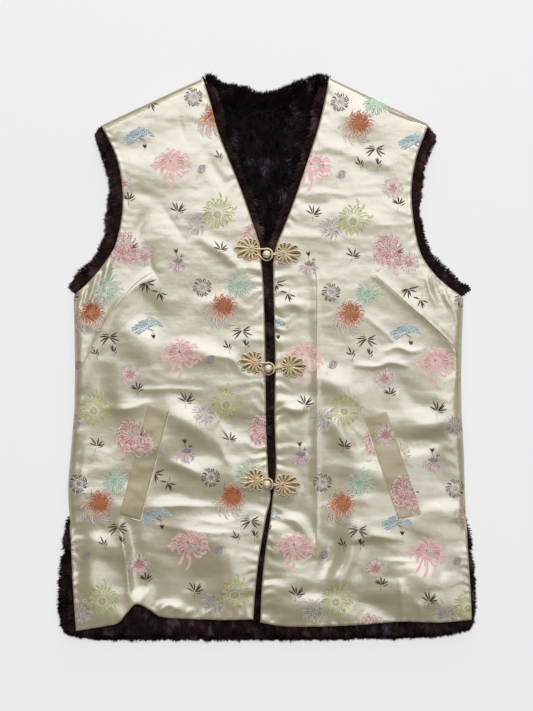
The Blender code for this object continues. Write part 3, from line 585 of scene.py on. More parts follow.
def laid_strip(name, rows, tree, deep, slot, stuff, flip):
    """A strip that lies on the satin. rows has the plan points of each row, with its lift."""
    verts = []
    for points, lift in rows:
        z = [(surface(tree, x, y) or deep) + lift for x, y in points]
        verts.append(np.column_stack([points, z]))
    faces = grid_faces(len(points), len(rows), flip)
    mesh_piece(name, np.stack(verts, axis=1).reshape(-1, 3), faces, slot, stuff)


def seam(name, way, tree, width=0.8, high=0.4, colour=SEAM_SHADE_SATIN, slot="satin"):
    """A narrow sewn line of the satin: one side stands a little proud of the other. It is coloured a
    little darker than the satin as painted shade in the seam, or pale as painted highlight on a welt's
    edge.
    """
    line = at_shares(cubic(way, 8), np.linspace(0, 1, 80))
    ahead = unit(np.gradient(line, axis=0))
    side = np.column_stack([-ahead[:, 1], ahead[:, 0]])
    profile = ((-width, -0.15), (-0.4 * width, 0.9 * high), (0.3 * width, high), (width, -0.15))
    rows = [(line + side * off, lift) for off, lift in profile]
    stuff = satin("edge highlight satin" if colour is EDGE_HIGHLIGHT_SATIN else "seam shade satin", colour)
    laid_strip(name, rows, tree, FRONT_TOP - 1, slot, stuff, True)


def shoulder_shade_band(side, line, tree):
    """A darker, duller strip of satin along a shoulder: painted shade on the roll of the cloth there."""
    share = np.linspace(0.01, 0.99, 90)
    line = at_shares(line, share)
    wide = np.interp(share, *zip(*SHOULDER_SHADE_BANDS[side]))
    rows = []
    for part, lift in ((0, 0.24), (0.3, 0.24), (0.7, 0.24), (0.95, 0.24), (1.0, -0.1)):
        rows.append((line - np.column_stack([0 * wide, 0.9 + part * wide]), lift))
    stuff = satin("shoulder painted shade satin", SHOULDER_SHADE_SATIN)
    laid_strip(f"{side}_shoulder_shade_band", rows, tree, SEAM_Z, "satin", stuff, side == "right")


def surface(tree, x, y):
    """Height of a surface above a plan point, or nothing beside it."""
    hit = tree.ray_cast(Vector((x, y, 100.0)), Vector((0, 0, -1)))[0]
    return hit.z if hit else None


def beside(field, **rim):
    """What the cells below, above, left and right of each cell hold."""
    wide = np.pad(field, 1, **rim)
    return wide[:-2, 1:-1], wide[2:, 1:-1], wide[1:-1, :-2], wide[1:-1, 2:]


def smoothed(field, passes):
    for _ in range(passes):
        low, high, left, right = beside(field, mode="edge")
        field = (field * 2 + low + high + left + right) / 6
    return field


# Brocade


class Motif:
    """A woven motif: strokes of coloured thread round its own middle."""

    def __init__(self, seed):
        self.strokes = []
        self.random = np.random.default_rng(seed)

    def stroke(self, colour, x, y, heading, length, width, bend=0.0, hook=0.0, leaf=False, raised=0.0):
        """A stroke from a point. It turns by bend along its way and by hook near its end."""
        steps = int(min(9, 3 + (abs(bend) + abs(hook)) / 32 + length / 9))
        t = np.linspace(0, 1, steps + 1)
        way = np.radians(heading + bend * t + hook * t**3)
        step = length / steps
        mid = (way[:-1] + way[1:]) / 2
        xs = x + np.concatenate(([0], np.cumsum(np.cos(mid) * step)))
        ys = y + np.concatenate(([0], np.cumsum(np.sin(mid) * step)))
        if leaf:
            half = width / 2 * (0.12 + 0.88 * np.sin(math.pi * t) ** 0.8)
        else:
            half = width / 2 * (0.45 + 0.55 * smoothstep(t, 0, 0.6)) * (1 - 0.6 * smoothstep(t, 0.8, 1))
        left = np.column_stack([xs - np.sin(way) * half, ys + np.cos(way) * half])
        right = np.column_stack([xs + np.sin(way) * half, ys - np.cos(way) * half])
        lift = 0.14 + 0.002 * len(self.strokes) + raised
        self.strokes.append((colour, np.stack([left, right], axis=1), lift))

    def petal(self, colour, edge, x, y, heading, length, width, bend=0.0, hook=0.0):
        """A stroke. If edge names a thread, an outline of that one shows at its sides."""
        if edge:
            back = math.radians(heading)
            at = (x - 0.2 * math.cos(back), y - 0.2 * math.sin(back))
            self.stroke(edge, *at, heading, length + 0.7, width + 0.8, bend, hook)
        self.stroke(colour, x, y, heading, length, width, bend, hook, raised=0.012 if edge else 0.0)

    def ring(
        self, colour, edge, count, start, end, width,
        bend=0.0, hook=0.0, arc=(0, 360), at=(0, 0), flat=1.0, vary=0.15, lean=0, both=False,
    ):
        """Petals round a middle, from one radius to another, over an arc."""
        for k in range(count):
            angle = arc[0] + (arc[1] - arc[0]) * (k + 0.5) / count + self.random.normal(0, 60 / count)
            reach = (end - start) * (1 + self.random.uniform(-vary, vary))
            a = math.radians(angle)
            x = at[0] + start * math.cos(a)
            y = at[1] + start * math.sin(a) * flat
            side = -1 if both and math.cos(a) > 0 else 1
            turn = (bend * side, hook * side * self.random.uniform(0.6, 1.3))
            self.petal(colour, edge, x, y, angle + lean, reach, width, *turn)

    def sized(self, factor):
        self.strokes = [(colour, strip * factor, lift) for colour, strip, lift in self.strokes]
        return self

    def leaves(self, colour, x, y, headings, length, width):
        for heading in headings:
            reach = length * self.random.uniform(0.7, 1.15)
            self.stroke(colour, x, y, heading, reach, width, 14, leaf=True)


def big_pink():
    """A chrysanthemum seen from the side: a dome of curled petals over long hanging ones."""
    m = Motif(1)
    for angle, reach, bend, hook in (
        (190, 17, -6, -60), (212, 9, 20, 120), (238, 18, 40, -70), (258, 8, 0, 60),
        (272, 22, -8, -50), (292, 14, 24, 120), (312, 16, 30, 120), (338, 14, 20, 100),
    ):
        a = math.radians(angle)
        m.petal("pink", "pale", 9 * math.cos(a), 8 * math.sin(a) + 2, angle, reach, 2.3, bend, hook)
    m.ring("pink", "pale", 15, 13, 23, 1.6, 8, 120, (-14, 194), (0, 0), 0.86, 0.25, both=True)
    m.ring("pink", "pale", 17, 8, 16, 1.5, 10, 90, (-25, 205), (0, 1), 0.9, both=True)
    m.ring("pink", "pale", 15, 4.5, 11, 1.3, 10, 100, (-40, 220), (0, 2), 0.9, both=True)
    m.ring("pink", "pale", 12, 3, 8.5, 1.3, -20, -60, (180, 360), (0, 1))
    m.ring("pink", "pale", 10, 1.5, 5.5, 1.2, 30, 60, at=(-1, 4))
    m.ring("rose", "", 16, 7, 15, 0.5, 10, 90, (-20, 200), (0, 1), both=True)
    m.ring("slate", "", 5, 0, 1.5, 0.9, at=(-1.5, 5))
    return m


def orange_swirl():
    """A ball of swirled rust petals with fine pale tails that sweep down."""
    m = Motif(2)
    m.ring("pale", "slate", 15, 11, 27, 0.9, 40, 40, (172, 296), (3, 3), 1, 0.2, lean=6)
    m.ring("rust", "", 9, 10, 22, 0.8, 44, 30, (165, 290), (3, 3), 1, 0.25)
    m.ring("rust", "pale", 25, 9, 18, 1.2, -30, -60, (0, 360), (4, 4), 1, 0.3)
    m.ring("slate", "", 18, 10, 19, 0.5, -34, -40, (-80, 170), (4, 4), 1, 0.3)
    m.ring("rust", "", 25, 6, 14, 1.5, 50, 20, at=(4, 4), vary=0.25)
    m.ring("rust", "brick", 17, 3, 10, 1.5, 60, 0, at=(5, 5))
    m.ring("rust", "", 9, 0, 6, 1.6, 60, 0, at=(5, 5))
    m.ring("brick", "", 15, 1, 12, 0.5, 60, 0, at=(5, 5))
    return m


def ring_daisy():
    m = Motif(3)
    m.ring("slate", "pale", 17, 5.8, 10.4, 0.9, -30, -40, vary=0.2)
    m.ring("pale", "slate", 13, 2.5, 6.5, 1.1, 20, 40)
    m.ring("brown", "", 21, 7.6, 12.6, 1.15, 40, 60, vary=0.25)
    m.ring("brown", "", 15, 6.4, 9.0, 0.6, -40, -60, vary=0.2)
    m.ring("slate", "", 8, 0.5, 3, 0.6, 30, at=(0.5, 0.5))
    return m


def mint_fan():
    m = Motif(4)
    m.ring("mint", "pale", 25, 8, 16.5, 1.2, 10, 50, vary=0.25, both=True)
    m.ring("mint", "pale", 21, 4, 12, 1.3, -10, -30)
    m.ring("pale", "mint", 9, 6, 19, 0.8, -4, -20, (-10, 100), (1, 1), 1, 0.3)
    m.ring("mint", "pale", 13, 0.6, 6.5, 1.4, 20, 40)
    m.ring("jade", "", 13, 7, 13, 0.5, 6, 20, (100, 350))
    return m


def blue_side():
    """A small flower seen from its side, on a stem with a bud."""
    m = Motif(5)
    m.leaves("brown", 2, -3, (-34, 14, 34), 9, 0.9)
    m.stroke("slate", 0, -3, -20, 15, 0.7, -50)
    m.leaves("brown", 9, -17, (60, 84, 106), 7, 2.3)
    for row, (count, reach) in enumerate(((15, 6), (14, 5.5), (12, 5), (9, 4.5))):
        for k in range(count):
            share = k / (count - 1)
            x = -13 + 25 * share + 2 * row
            y = -4 + 8 * share + 3.4 * math.sin(math.pi * share) - 2.1 * row
            way = 200 - 170 * share + m.random.uniform(-30, 30)
            turn = -110 if share > 0.55 else 120
            m.petal("blue", "pale", x, y, way, reach * m.random.uniform(0.8, 1.2), 1.5, 0, turn)
    m.ring("slate", "", 7, 2, 8, 0.4, 0, 60, (20, 180), (-3, -2))
    return m


def two_tone_daisy():
    m = Motif(6)
    m.ring("lilac", "pale", 21, 8, 13.5, 1.1, 10, 30, vary=0.2)
    m.ring("slate", "", 15, 6, 12.5, 0.45, 10, 30, vary=0.2)
    m.ring("pink", "pale", 17, 4.5, 10, 1.3, -10, -30)
    m.ring("pink", "slate", 9, 1, 5, 1.1, 20, 20)
    m.ring("rose", "", 9, 1, 7, 0.5)
    return m


def small_bud():
    m = Motif(7)
    for size, heading in ((6.0, 20), (4.2, 130), (2.6, 250)):
        for way in (0, 180):
            a = math.radians(heading + way)
            x, y = size * math.cos(a), 0.72 * size * math.sin(a)
            m.petal("lilac", "slate", x, y, heading + way + 100, size * 2.1, 0.6, 150, 0)
    m.stroke("slate", -1, -1, 40, 2.6, 1.0, 90)
    m.stroke("lilac", -5, -7, 250, 5, 0.6, 30)
    return m


def bamboo(seed, headings, size):
    m = Motif(seed)
    for heading in headings:
        a = math.radians(heading)
        start = m.random.uniform(0.0, 1.4)
        way = heading + m.random.uniform(-9, 9)
        m.leaves("brown", start * math.cos(a), start * math.sin(a), (way,), size * 1.12, 1.95)
    m.stroke("brown", 0, 0, headings[len(headings) // 2] + 176, size * 0.8, 0.45, 14)
    m.leaves("brown", 1.5, -2, (headings[0] - 8,), size * 0.7, 1.2)
    return m


def yellow_green():
    """A feathery flower with a pale ring low in its middle and a plume on top."""
    m = Motif(8)
    m.ring("lime", "", 23, 12, 20.5, 1.6, 10, 90, vary=0.3, both=True)
    m.ring("lime", "pale", 21, 7, 14.5, 1.5, -10, -60, vary=0.25)
    m.ring("jade", "", 11, 13, 19, 0.5, 10, 40, (20, 200), vary=0.3)
    m.ring("slate", "", 9, 10, 17, 0.5, 10, 60, (100, 350), vary=0.3)
    for k in range(11):
        a = math.radians(360 * k / 11)
        m.stroke("pale", 6.6 * math.cos(a), 5.6 * math.sin(a) - 2, 360 * k / 11 + 106, 4.2, 1.1, 33)
    m.ring("lime", "", 11, 1.0, 5.4, 1.5, 30, 60, at=(0, -2), flat=0.8)
    m.ring("pale", "", 5, 0.5, 2.6, 0.6, 30, at=(0, -2))
    m.petal("lime", "pale", 4, 13, 72, 14, 1.9, 20, 60)
    m.petal("lime", "pale", 8, 12, 40, 10, 1.7, 10, 80)
    m.petal("lime", "pale", 18, 3, 14, 8, 1.7, 10, 60)
    m.ring("slate", "", 7, 1, 5, 0.4, 30, 60, at=(0, -2))
    return m


def lilac_spider():
    m = Motif(9)
    m.ring("lilac", "pale", 21, 7, 15.5, 0.8, 10, 60, vary=0.25, both=True)
    m.ring("slate", "", 19, 4, 12, 0.7, -20, -30, vary=0.2)
    m.ring("pale", "slate", 11, 2, 8, 0.9, 20, 20)
    m.ring("lime", "", 5, 0, 1.6, 0.8)
    return m


def rose_cluster():
    """A dense head of curled rose petals over a smaller one."""
    m = Motif(10)
    for at, size in (((-7, -8), 0.75), ((6, -10), 0.8), ((24, -8), 0.22), ((0, 3), 1.15)):
        for colour, edge, few, more, start, end, width, bend, hook, flat, vary in (
            ("pink", "pale", 9, 9, 10, 18, 1.4, 30, 190, 0.92, 0.25),
            ("rose", "pale", 7, 9, 7, 15, 1.0, 20, 150, 0.92, 0.15),
            ("pink", "pale", 5, 8, 3, 10, 1.3, -20, -120, 1, 0.15),
            ("rose", "", 5, 9, 3, 12, 0.6, -20, -100, 1, 0.15),
            ("rose", "", 4, 8, 11, 18, 0.5, 30, 170, 1, 0.15),
        ):
            span = (few + int(more * size), start * size, end * size)
            m.ring(colour, edge, *span, width, bend, hook, (0, 360), at, flat, vary)
    m.ring("slate", "pale", 9, 1, 5, 0.9, 20, 60, at=(0, 4))
    m.petal("pink", "pale", 8, -24, 280, 9, 1.3, 40, 120)
    m.petal("pink", "pale", -9, -22, 250, 8, 1.3, -40, -120)
    m.leaves("brown", 12, -3, (10, 40, 70), 8, 1.2)
    return m


def thistle():
    """A half flower with its petals down, and a dark bud on a stem above it."""
    m = Motif(11)
    m.ring("lilac", "pale", 15, 4, 13.5, 1.3, 0, 40, (172, 354), (0, 0), 0.8, 0.2, both=True)
    m.ring("pink", "pale", 9, 3, 9, 1.1, 0, 30, (186, 348), (0, 0), 0.8, both=True)
    m.ring("slate", "", 9, 1, 9, 0.5, 0, 20, (185, 350))
    m.ring("slate", "lilac", 8, 1, 7, 1.3, 0, 20, (5, 165), (0, 0), 0.7)
    m.petal("lilac", "pale", -8, -3, 196, 9, 1.0, 30, 90)
    m.stroke("brown", 0, 5, 100, 8, 0.5, 20)
    m.leaves("brown", -1.5, 12, (70, 92, 116), 7, 1.8)
    m.leaves("brown", 3, 7, (20, 56), 7, 0.9)
    return m


# Every motif of one repeat, with its place and turn
TILE = (
    (big_pink().sized(1.1), 0, 0, 0),
    (orange_swirl(), 52, 55, 0),
    (ring_daisy(), 31, 84, 0),
    (mint_fan(), 76, 85, 0),
    (blue_side(), -42, 40, 0),
    (two_tone_daisy(), -64, -20, 0),
    (small_bud().sized(1.2), 37, -6, 0),
    (bamboo(20, (30, 58, 84, 132, 160), 11), -56, -40, 0),
    (bamboo(21, (-8, 18, 48, 128, 152, 180, 204), 11), 78, 28, 180),
    (bamboo(22, (60, 96, 128), 9), 60, 6, 10),
    (bamboo(23, (50, 86, 110), 8), 82, 8, 0),
    (bamboo(24, (10, 34, 56, 84, 118, 152), 11), 4, -58, 0),
    (bamboo(25, (14, 40, 66, 112, 146), 11), 56, -108, 0),
    (bamboo(26, (-70, -96, -120, -150, -24, 10, 186), 11), -39, 93, 0),
    (bamboo(27, (-60, -86, -112, -20, 150), 10), -23, 80, 0),
    (yellow_green(), 54, -62, 0),
    (lilac_spider(), 27, -75, 0),
    (rose_cluster(), -66, -98, 0),
    (two_tone_daisy(), -40, -112, 60),
    (thistle(), 2, -122, 0),
)
# Motifs on the welts
WELT_BLOOMS = {
    "right": ((rose_cluster(), -173, -96), (two_tone_daisy(), -152.5, -110)),
    "left": ((two_tone_daisy(), 147.5, -97), (rose_cluster(), 172.5, -168)),
}


def weave_on(weave, tree, hidden):
    """The repeat laid over a front, as each colour's points and faces."""
    cover = {}
    lean = math.radians(weave.lean)
    for i in range(-4, 5):
        for j in range(-3, 4):
            for motif, x, y, turn in TILE:
                x, y = x + i * REPEAT[0], y + j * REPEAT[1]
                at = (
                    weave.origin[0] + x * math.cos(lean) - y * math.sin(lean),
                    weave.origin[1] + x * math.sin(lean) + y * math.cos(lean),
                )
                if weave.reach[0] < at[0] < weave.reach[1] and abs(at[1]) < WEAVE_END:
                    lay_motif(cover, motif, at, lean + math.radians(turn), tree, hidden)
    return cover


def within(points, corners):
    """Which points lie inside a convex outline."""
    sides = []
    for (x0, y0), (x1, y1) in zip(corners, (*corners[1:], corners[0])):
        sides.append((x1 - x0) * (points[..., 1] - y0) - (y1 - y0) * (points[..., 0] - x0))
    sides = np.array(sides)
    return (sides >= 0).all(axis=0) | (sides <= 0).all(axis=0)


def lay_motif(cover, motif, at, turn, tree, hidden=None):
    """One motif laid on a surface. What falls inside the hidden outline or beside is left out."""
    spin = np.array([[math.cos(turn), math.sin(turn)], [-math.sin(turn), math.cos(turn)]])
    for colour, strip, lift in motif.strokes:
        points = strip.reshape(-1, 2) @ spin + at
        under = within(points, hidden) if hidden else np.zeros(len(points), bool)
        points = points.tolist()
        heights = [None if u else surface(tree, x, y) for u, (x, y) in zip(under, points)]
        verts, faces = cover.setdefault(colour, ([], []))
        start = len(verts)
        verts.extend((x, y, (z or 0.0) + lift) for (x, y), z in zip(points, heights))
        for k in range(0, len(points) - 2, 2):
            if all(heights[k + n] is not None for n in range(4)):
                faces.append((start + k, start + k + 1, start + k + 3, start + k + 2))


def brocade(name, cover, slot):
    """One piece for each colour of thread."""
    for colour, (verts, faces) in cover.items():
        if faces:
            mesh_piece(f"{name}_{colour}", verts, np.array(faces)[:, ::-1], slot, thread(colour))


# Fur


CELL = 1.5
FUR_LOCKS = 28500
ARM_TONE, ARM_WARM = 0.42, 0.35  # the back's fur at the armholes
THIN_TIPS = ((236, 86), (197, 284))  # armhole corners that get more locks
TIP_REACH, TIP_EXTRA = 15, 5
SKIN_CELL, SKIN_DEPTH, SKIN_DROP = 6.5, 1.7, 1.6
# Corners of fur that the solids leave open, by their outlines
FRONT_WEDGES = {
    "right": (
        ((-244, -196), (-251, -204), (-258.5, -240), (-240, -240)),
        ((-205, 290), (-212, 286.5), (-216, 279), (-210, 260), (-200, 260)),
    ),
    "left": (
        ((240, -240), (256, -240), (251, -212), (246, -200)),
        ((200, 290), (206, 286), (209.5, 278), (205, 260), (195, 260)),
    ),
}
# The outer edge of the fur down each slit
RIGHT_SLIT_FUR = ((-249, -200), (-252, -209), (-255.5, -234), (-260, -259), (-263, -275))
LEFT_SLIT_FUR = (
    (249, -206), (255, -218), (256.3, -233.5), (258.9, -292), (259.6, -317), (256, -334), (262, -345),
)
NECK_WEDGES = (
    ((-76, 332), (-82, 349), (-77, 353), (-62, 352), (-62, 332)),
    ((74, 332), (78, 349), (73, 353), (58, 352), (58, 332)),
)
REACH = (276.0, 366.0)  # the plan's half width and half length


def cells():
    """X of the plan's columns of cells and Y of its rows."""
    xs = np.arange(-REACH[0], REACH[0], CELL)
    ys = np.arange(-REACH[1], REACH[1], CELL)
    return xs, ys


def footprint(solid):
    """Which cells of the plan a solid of the frame covers."""
    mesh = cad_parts[solid].data
    tree = BVHTree.FromPolygons(
        [tuple(v.co / MM) for v in mesh.vertices], [tuple(p.vertices) for p in mesh.polygons]
    )
    xs, ys = cells()
    low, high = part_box(solid)
    covered = np.zeros((len(ys), len(xs)), bool)
    for j, y in enumerate(ys):
        if low[1] / MM <= y <= high[1] / MM:
            for i, x in enumerate(xs):
                if low[0] / MM <= x <= high[0] / MM:
                    covered[j, i] = surface(tree, x, y) is not None
    return covered


def depth_inside(covered, limit):
    """Distance in from the edge of a footprint, in millimetres, up to a limit."""
    depth = np.zeros(covered.shape)
    inner = covered
    for k in range(int(limit / CELL)):
        depth[inner] += CELL
        wide = np.pad(inner, 1)
        corners = inner if k % 2 else inner & wide[:-2, :-2] & wide[2:, 2:]
        inner = np.logical_and.reduce((corners, *beside(inner)))
    return smoothed(depth, 2)


def grown(covered, steps):
    """A footprint that has spread by this many cells."""
    for _ in range(steps):
        covered = np.logical_or.reduce((covered, *beside(covered)))
    return covered


def fur_piece(name, fur, shown, seed):
    """Locks of fur where a lining shows, each a thin bent ribbon that lies nearly flat."""
    random = np.random.default_rng(seed)
    xs, ys = cells()
    rows, columns = np.nonzero(shown)
    for tip_x, tip_y in THIN_TIPS:
        thin = (np.abs(xs[columns]) > tip_x) & (np.abs(ys[rows] - tip_y) < TIP_REACH)
        rows = np.append(rows, np.repeat(rows[thin], TIP_EXTRA))
        columns = np.append(columns, np.repeat(columns[thin], TIP_EXTRA))
    pick = random.integers(0, len(rows), FUR_LOCKS)
    j, i = rows[pick], columns[pick]
    root = np.column_stack([xs[i], ys[j]]) + random.uniform(-CELL / 2, CELL / 2, (FUR_LOCKS, 2))

    def wave(size, step):
        return rough(root, size, seed + step)

    ragged = fur.depth[j, i] > 0.9 + 2.6 * wave((8, 9), 15)
    j, i, root = j[ragged], i[ragged], root[ragged]
    count = len(root)
    tuft = np.column_stack([wave((16, 20), 0), wave((16, 20), 9)])
    wisp = np.column_stack([wave((5, 7), 3), wave((5, 7), 4)])
    bunch = wave((8, 10), 6)
    wide, high = np.abs(root[:, 0]), root[:, 1]
    upward = smoothstep(high, 290, 335) * smoothstep(-wide, -112, -84)
    arm = smoothstep(wide, 110, 150) * smoothstep(high, 40, 80)
    edge = 1 - smoothstep(fur.depth[j, i], 2.0, 9.0)

    flow = np.column_stack([0.2 * upward, 1.7 * upward - 0.7])
    heading = fur.pull[j, i] + flow + 0.6 * tuft + 0.4 * wisp + random.normal(0, 0.15, (count, 2))
    heading = unit(heading, 1e-6)
    side = np.column_stack([-heading[:, 1], heading[:, 0]])
    length = random.uniform(7.5, 12.5, count) * (1 + 0.3 * bunch) * (1 - (0.55 + 0.15 * arm) * edge)
    base = fur.top - 3.6 - (fur.top - 5.0) * 0.75 * edge**2
    lift = random.uniform(1.2, 3.4, count) * (1 + 0.6 * bunch) * (1 - 0.4 * edge)
    curl = random.normal(0, 0.13, count) + 0.35 * wisp[:, 0]
    width = random.uniform(0.36, 0.76, count) * (1 - 0.35 * edge)
    roll = random.normal(0, 0.5, count)
    warm = fur.warm + arm * (ARM_WARM - fur.warm) + 0.5 * wave((60, 45), 12) + 0.25 * tuft[:, 1]
    # 0.22 * edge lightens the locks at the fur's edges: painted light, for the light that shows through
    # the thin fringe
    tone = fur.tone + arm * (ARM_TONE - fur.tone) + 0.22 * edge + 0.4 * tuft[:, 0] + 0.3 * bunch
    # painted highlight: patches of cool glints where a noise runs high
    tone += 0.6 * smoothstep(wave((11, 26), 21), 0.16, 0.5) + random.normal(0, 0.14, count)
    tone = np.clip(tone, 0, 1)

    verts, tones = [], []
    for share, thick in ((0.0, 1.0), (0.4, 0.85), (0.75, 0.5), (1.0, 0.0)):
        run = length * share
        middle = root + heading * run[:, None] + side * (curl * run * share)[:, None]
        z = base + lift * math.sin(min(share * 1.2, 1.0) * math.pi / 2) - 2.2 * share * share * edge
        for way in (-1, 1) if thick else (0,):
            out = way * width * thick
            across = side * (out * np.cos(roll))[:, None]
            verts.append(np.column_stack([middle + across, z + out * np.sin(roll)]))
            # darker toward the roots and lighter toward the tips: painted shade deep in the pile and
            # painted light on the tips
            tones.append(np.clip(tone * (0.35 + 0.8 * share), 0, 1))
    size = len(verts)
    verts = np.stack(verts, axis=1).reshape(-1, 3)
    lock = np.array([(0, 1, 3), (0, 3, 2), (2, 3, 5), (2, 5, 4), (4, 5, 6)])
    faces = (np.arange(count)[:, None, None] * size + lock).reshape(-1, 3)
    piece = mesh_piece(name, verts, faces, "fur", fur_hair())
    for label, values in (("tone", np.stack(tones, axis=1).ravel()), ("warm", np.repeat(warm, size))):
        layer = piece.data.attributes.new(label, "FLOAT", "POINT")
        layer.data.foreach_set("value", values.astype(np.float32))
    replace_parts(piece, fur.solid)


def slit_limits(y):
    """How far the fur reaches to each side at this height of the picture."""
    limits = []
    for line in (RIGHT_SLIT_FUR, LEFT_SLIT_FUR):
        xs, ys = zip(*reversed(line))
        far = math.copysign(400, xs[0])
        limits.append(np.interp(y, ys, xs, left=far, right=far))
    return limits


def undercoat(name, solid):
    """The skin and dense under hair of a lining, a little inside its solid."""
    piece = copied(name, solid, fur_skin())
    remesh = piece.modifiers.new("even", "REMESH")
    remesh.mode = "VOXEL"
    remesh.voxel_size = SKIN_CELL * MM
    remesh.use_smooth_shade = True
    bpy.context.view_layer.update()
    even = bpy.data.meshes.new_from_object(piece.evaluated_get(bpy.context.evaluated_depsgraph_get()))
    piece.modifiers.clear()
    piece.data = even
    places, normals = np.empty((2, len(even.vertices) * 3), dtype=np.float32)
    even.vertices.foreach_get("normal", normals)
    even.vertices.foreach_get("co", places)
    places, normals = places.reshape(-1, 3), normals.reshape(-1, 3)
    bumps = 0.8 * rough(places[:, :2] / MM, (14, 16), 90)
    places += normals * ((bumps - SKIN_DEPTH) * MM)[:, None]
    places[:, 2] = np.maximum(places[:, 2] - SKIN_DROP * MM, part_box(solid)[0][2])
    west, east = slit_limits(places[:, 1] / MM)
    places[:, 0] = np.clip(places[:, 0], (west + 2) * MM, (east - 2) * MM)
    even.vertices.foreach_set("co", places.ravel())
    even.update()
    even.shade_smooth()
    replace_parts(piece, solid)


Pile = namedtuple("Pile", "solid depth pull top tone warm")


def lining():
    """All the fur: three linings, each an undercoat with the locks that show."""
    sides = ("right", "left")
    plan = np.stack(np.meshgrid(*cells()), axis=-1)
    west, east = slit_limits(plan[..., 1])
    clear = (plan[..., 0] < west) | (plan[..., 0] > east)

    def pelt(solid, wedges):
        return np.logical_or.reduce([footprint(solid), *(within(plan, w) for w in wedges)]) & ~clear

    shell = {side: footprint(f"{side}_front_shell") for side in sides}
    front = {side: pelt(f"{side}_front_lining", FRONT_WEDGES[side]) for side in sides}
    back = pelt("back_lining", NECK_WEDGES)
    satin_cover = shell["right"] | shell["left"]
    fronts = front["right"] | front["left"]
    open_fur = grown(~satin_cover, 3)
    body = satin_cover | fronts | back

    def pull(cover):
        """Away from the satin, and outward at the edge of the vest."""
        total = np.zeros((*body.shape, 2))
        for shape, passes, strength in ((cover, 14, 7.0), (body, 6, 9.0)):
            slope_y, slope_x = np.gradient(smoothed(shape.astype(float), passes))
            total -= strength * np.stack([slope_x, slope_y], axis=-1)
        return total

    above = pull(satin_cover)
    for side, seed in (("right", 31), ("left", 41)):
        solid = f"{side}_front_lining"
        fur = Pile(solid, depth_inside(front[side] | shell[side], 12), above, FRONT_FUR_TOP, 0.42, 0.35)
        fur_piece(f"{side}_front_fur", fur, front[side] & open_fur, seed)
        undercoat(f"{side}_front_undercoat", solid)
    depth, behind = depth_inside(back | satin_cover, 12), pull(satin_cover | fronts)
    shown = back & open_fur & grown(~fronts, 3)
    half = np.arange(len(shown))[:, None] > len(shown) * 0.45
    for name, part, tone, warm, seed in (("upper", half, 0.1, -0.2, 51), ("lower", ~half, 0.27, 0.1, 61)):
        fur = Pile("back_lining", depth, behind, BACK_FUR_TOP, tone, warm)
        fur_piece(f"back_fur_{name}", fur, shown & part, seed)
    undercoat("back_undercoat", "back_lining")


# Frogs


def petal_reach(angle, outward):
    facing = math.cos(angle - outward)
    if facing > 0:
        return SHORT_PETAL + (LONG_PETAL - SHORT_PETAL) * facing**3
    return SHORT_PETAL - (SHORT_PETAL - INNER_PETAL) * facing**2


def petal_loop(middle, angle, start, length, wide, turn):
    """Plan points of a narrow loop that runs out from a flower's middle, with shares of its reach."""
    share = (1 - np.cos(turn)) / 2
    along = start + length * share
    across = wide * np.sin(turn) * (0.5 + 0.85 * share)
    x = middle[0] + along * math.cos(angle) - across * math.sin(angle)
    y = middle[1] + along * math.sin(angle) + across * math.cos(angle)
    return x, y, share


def cord_piece(name, solid, parts, stuff):
    """One piece of cord from several tubes, in a solid's place."""
    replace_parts(mesh_piece(name, *joined(parts), "frog_satin", stuff), solid)


def frog_flower(name, middle, outward):
    """A chrysanthemum of narrow cord loops round a coil, over a near-black sheet of painted shade between
    its petals.
    """
    parts = []
    base = CALM_TOP - 0.3
    # the bed is a flat sheet of painted shade under each petal's loop
    bed = []
    turn = np.linspace(0, 2 * math.pi, 26, endpoint=False)
    for k in range(PETALS):
        angle = outward + 2 * math.pi * k / PETALS
        start = COIL - 1.0
        length = petal_reach(angle, outward) - PETAL_CORD - start
        wide = 1.3 + 0.09 * length
        x, y, share = petal_loop(middle, angle, start, length, wide, turn)
        z = base + PETAL_CORD + 0.55 * np.sin(np.pi * share) + 0.35 * (k % 2)
        parts.append(tube(np.column_stack([x, y, z]), PETAL_CORD, 8, closed=True))
        for end in range(1, len(x) - 1):
            bed.extend((x[n], y[n], base + 0.25) for n in (0, end, end + 1))
        if length >= LINED_PETAL:
            x, y, _ = petal_loop(middle, angle, start + 2.4, length - 4.6, 0.42 * wide, turn[::2])
            parts.append(tube(np.column_stack([x, y, 0 * x + base + 0.75]), 0.42, 5, closed=True))
    share = np.linspace(0, 1, 60)
    spin = outward + 2 * math.pi * COIL_TURNS * share
    radius = 0.7 + (COIL - 0.6) * share
    z = base + PETAL_CORD + 1.9 - 0.9 * (radius / COIL) ** 2
    path = np.column_stack([middle[0] + radius * np.cos(spin), middle[1] + radius * np.sin(spin), z])
    parts.append(tube(path, PETAL_CORD, 8))
    cord_piece(f"{name}_cord", name, parts, piping())
    # the sheet of painted shade, in a matte near-black
    shade = piping("piping painted shade", FROG_PAINTED_SHADE)
    mesh_piece(f"{name}_bed", bed, np.arange(len(bed)).reshape(-1, 3), "frog_satin", shade)


def knot_ball(frog):
    """The button: a ball knotted from cord, with its turns crossing."""
    centre = np.array([*frog.button, CALM_TOP + BUTTON / 2])
    parts = []
    inner = BUTTON / 2 - STRAND
    t = np.linspace(0, 2 * math.pi, 28, endpoint=False)
    for tilt, swing, shift in KNOT:
        radius = math.sqrt(inner * inner - shift * shift)
        wobble = 0.35 * np.sin(3 * t + swing)
        ring = np.column_stack([radius * np.cos(t), radius * np.sin(t), shift + wobble])
        turn = Matrix.Rotation(math.radians(swing), 3, "Z") @ Matrix.Rotation(math.radians(tilt), 3, "X")
        parts.append(tube(ring @ np.array(turn).T + centre, STRAND * 0.8, 8, closed=True))
    cord_piece(f"{frog.name}_knot", f"{frog.name}_button", parts, piping("button cord", BUTTON_GOLD))


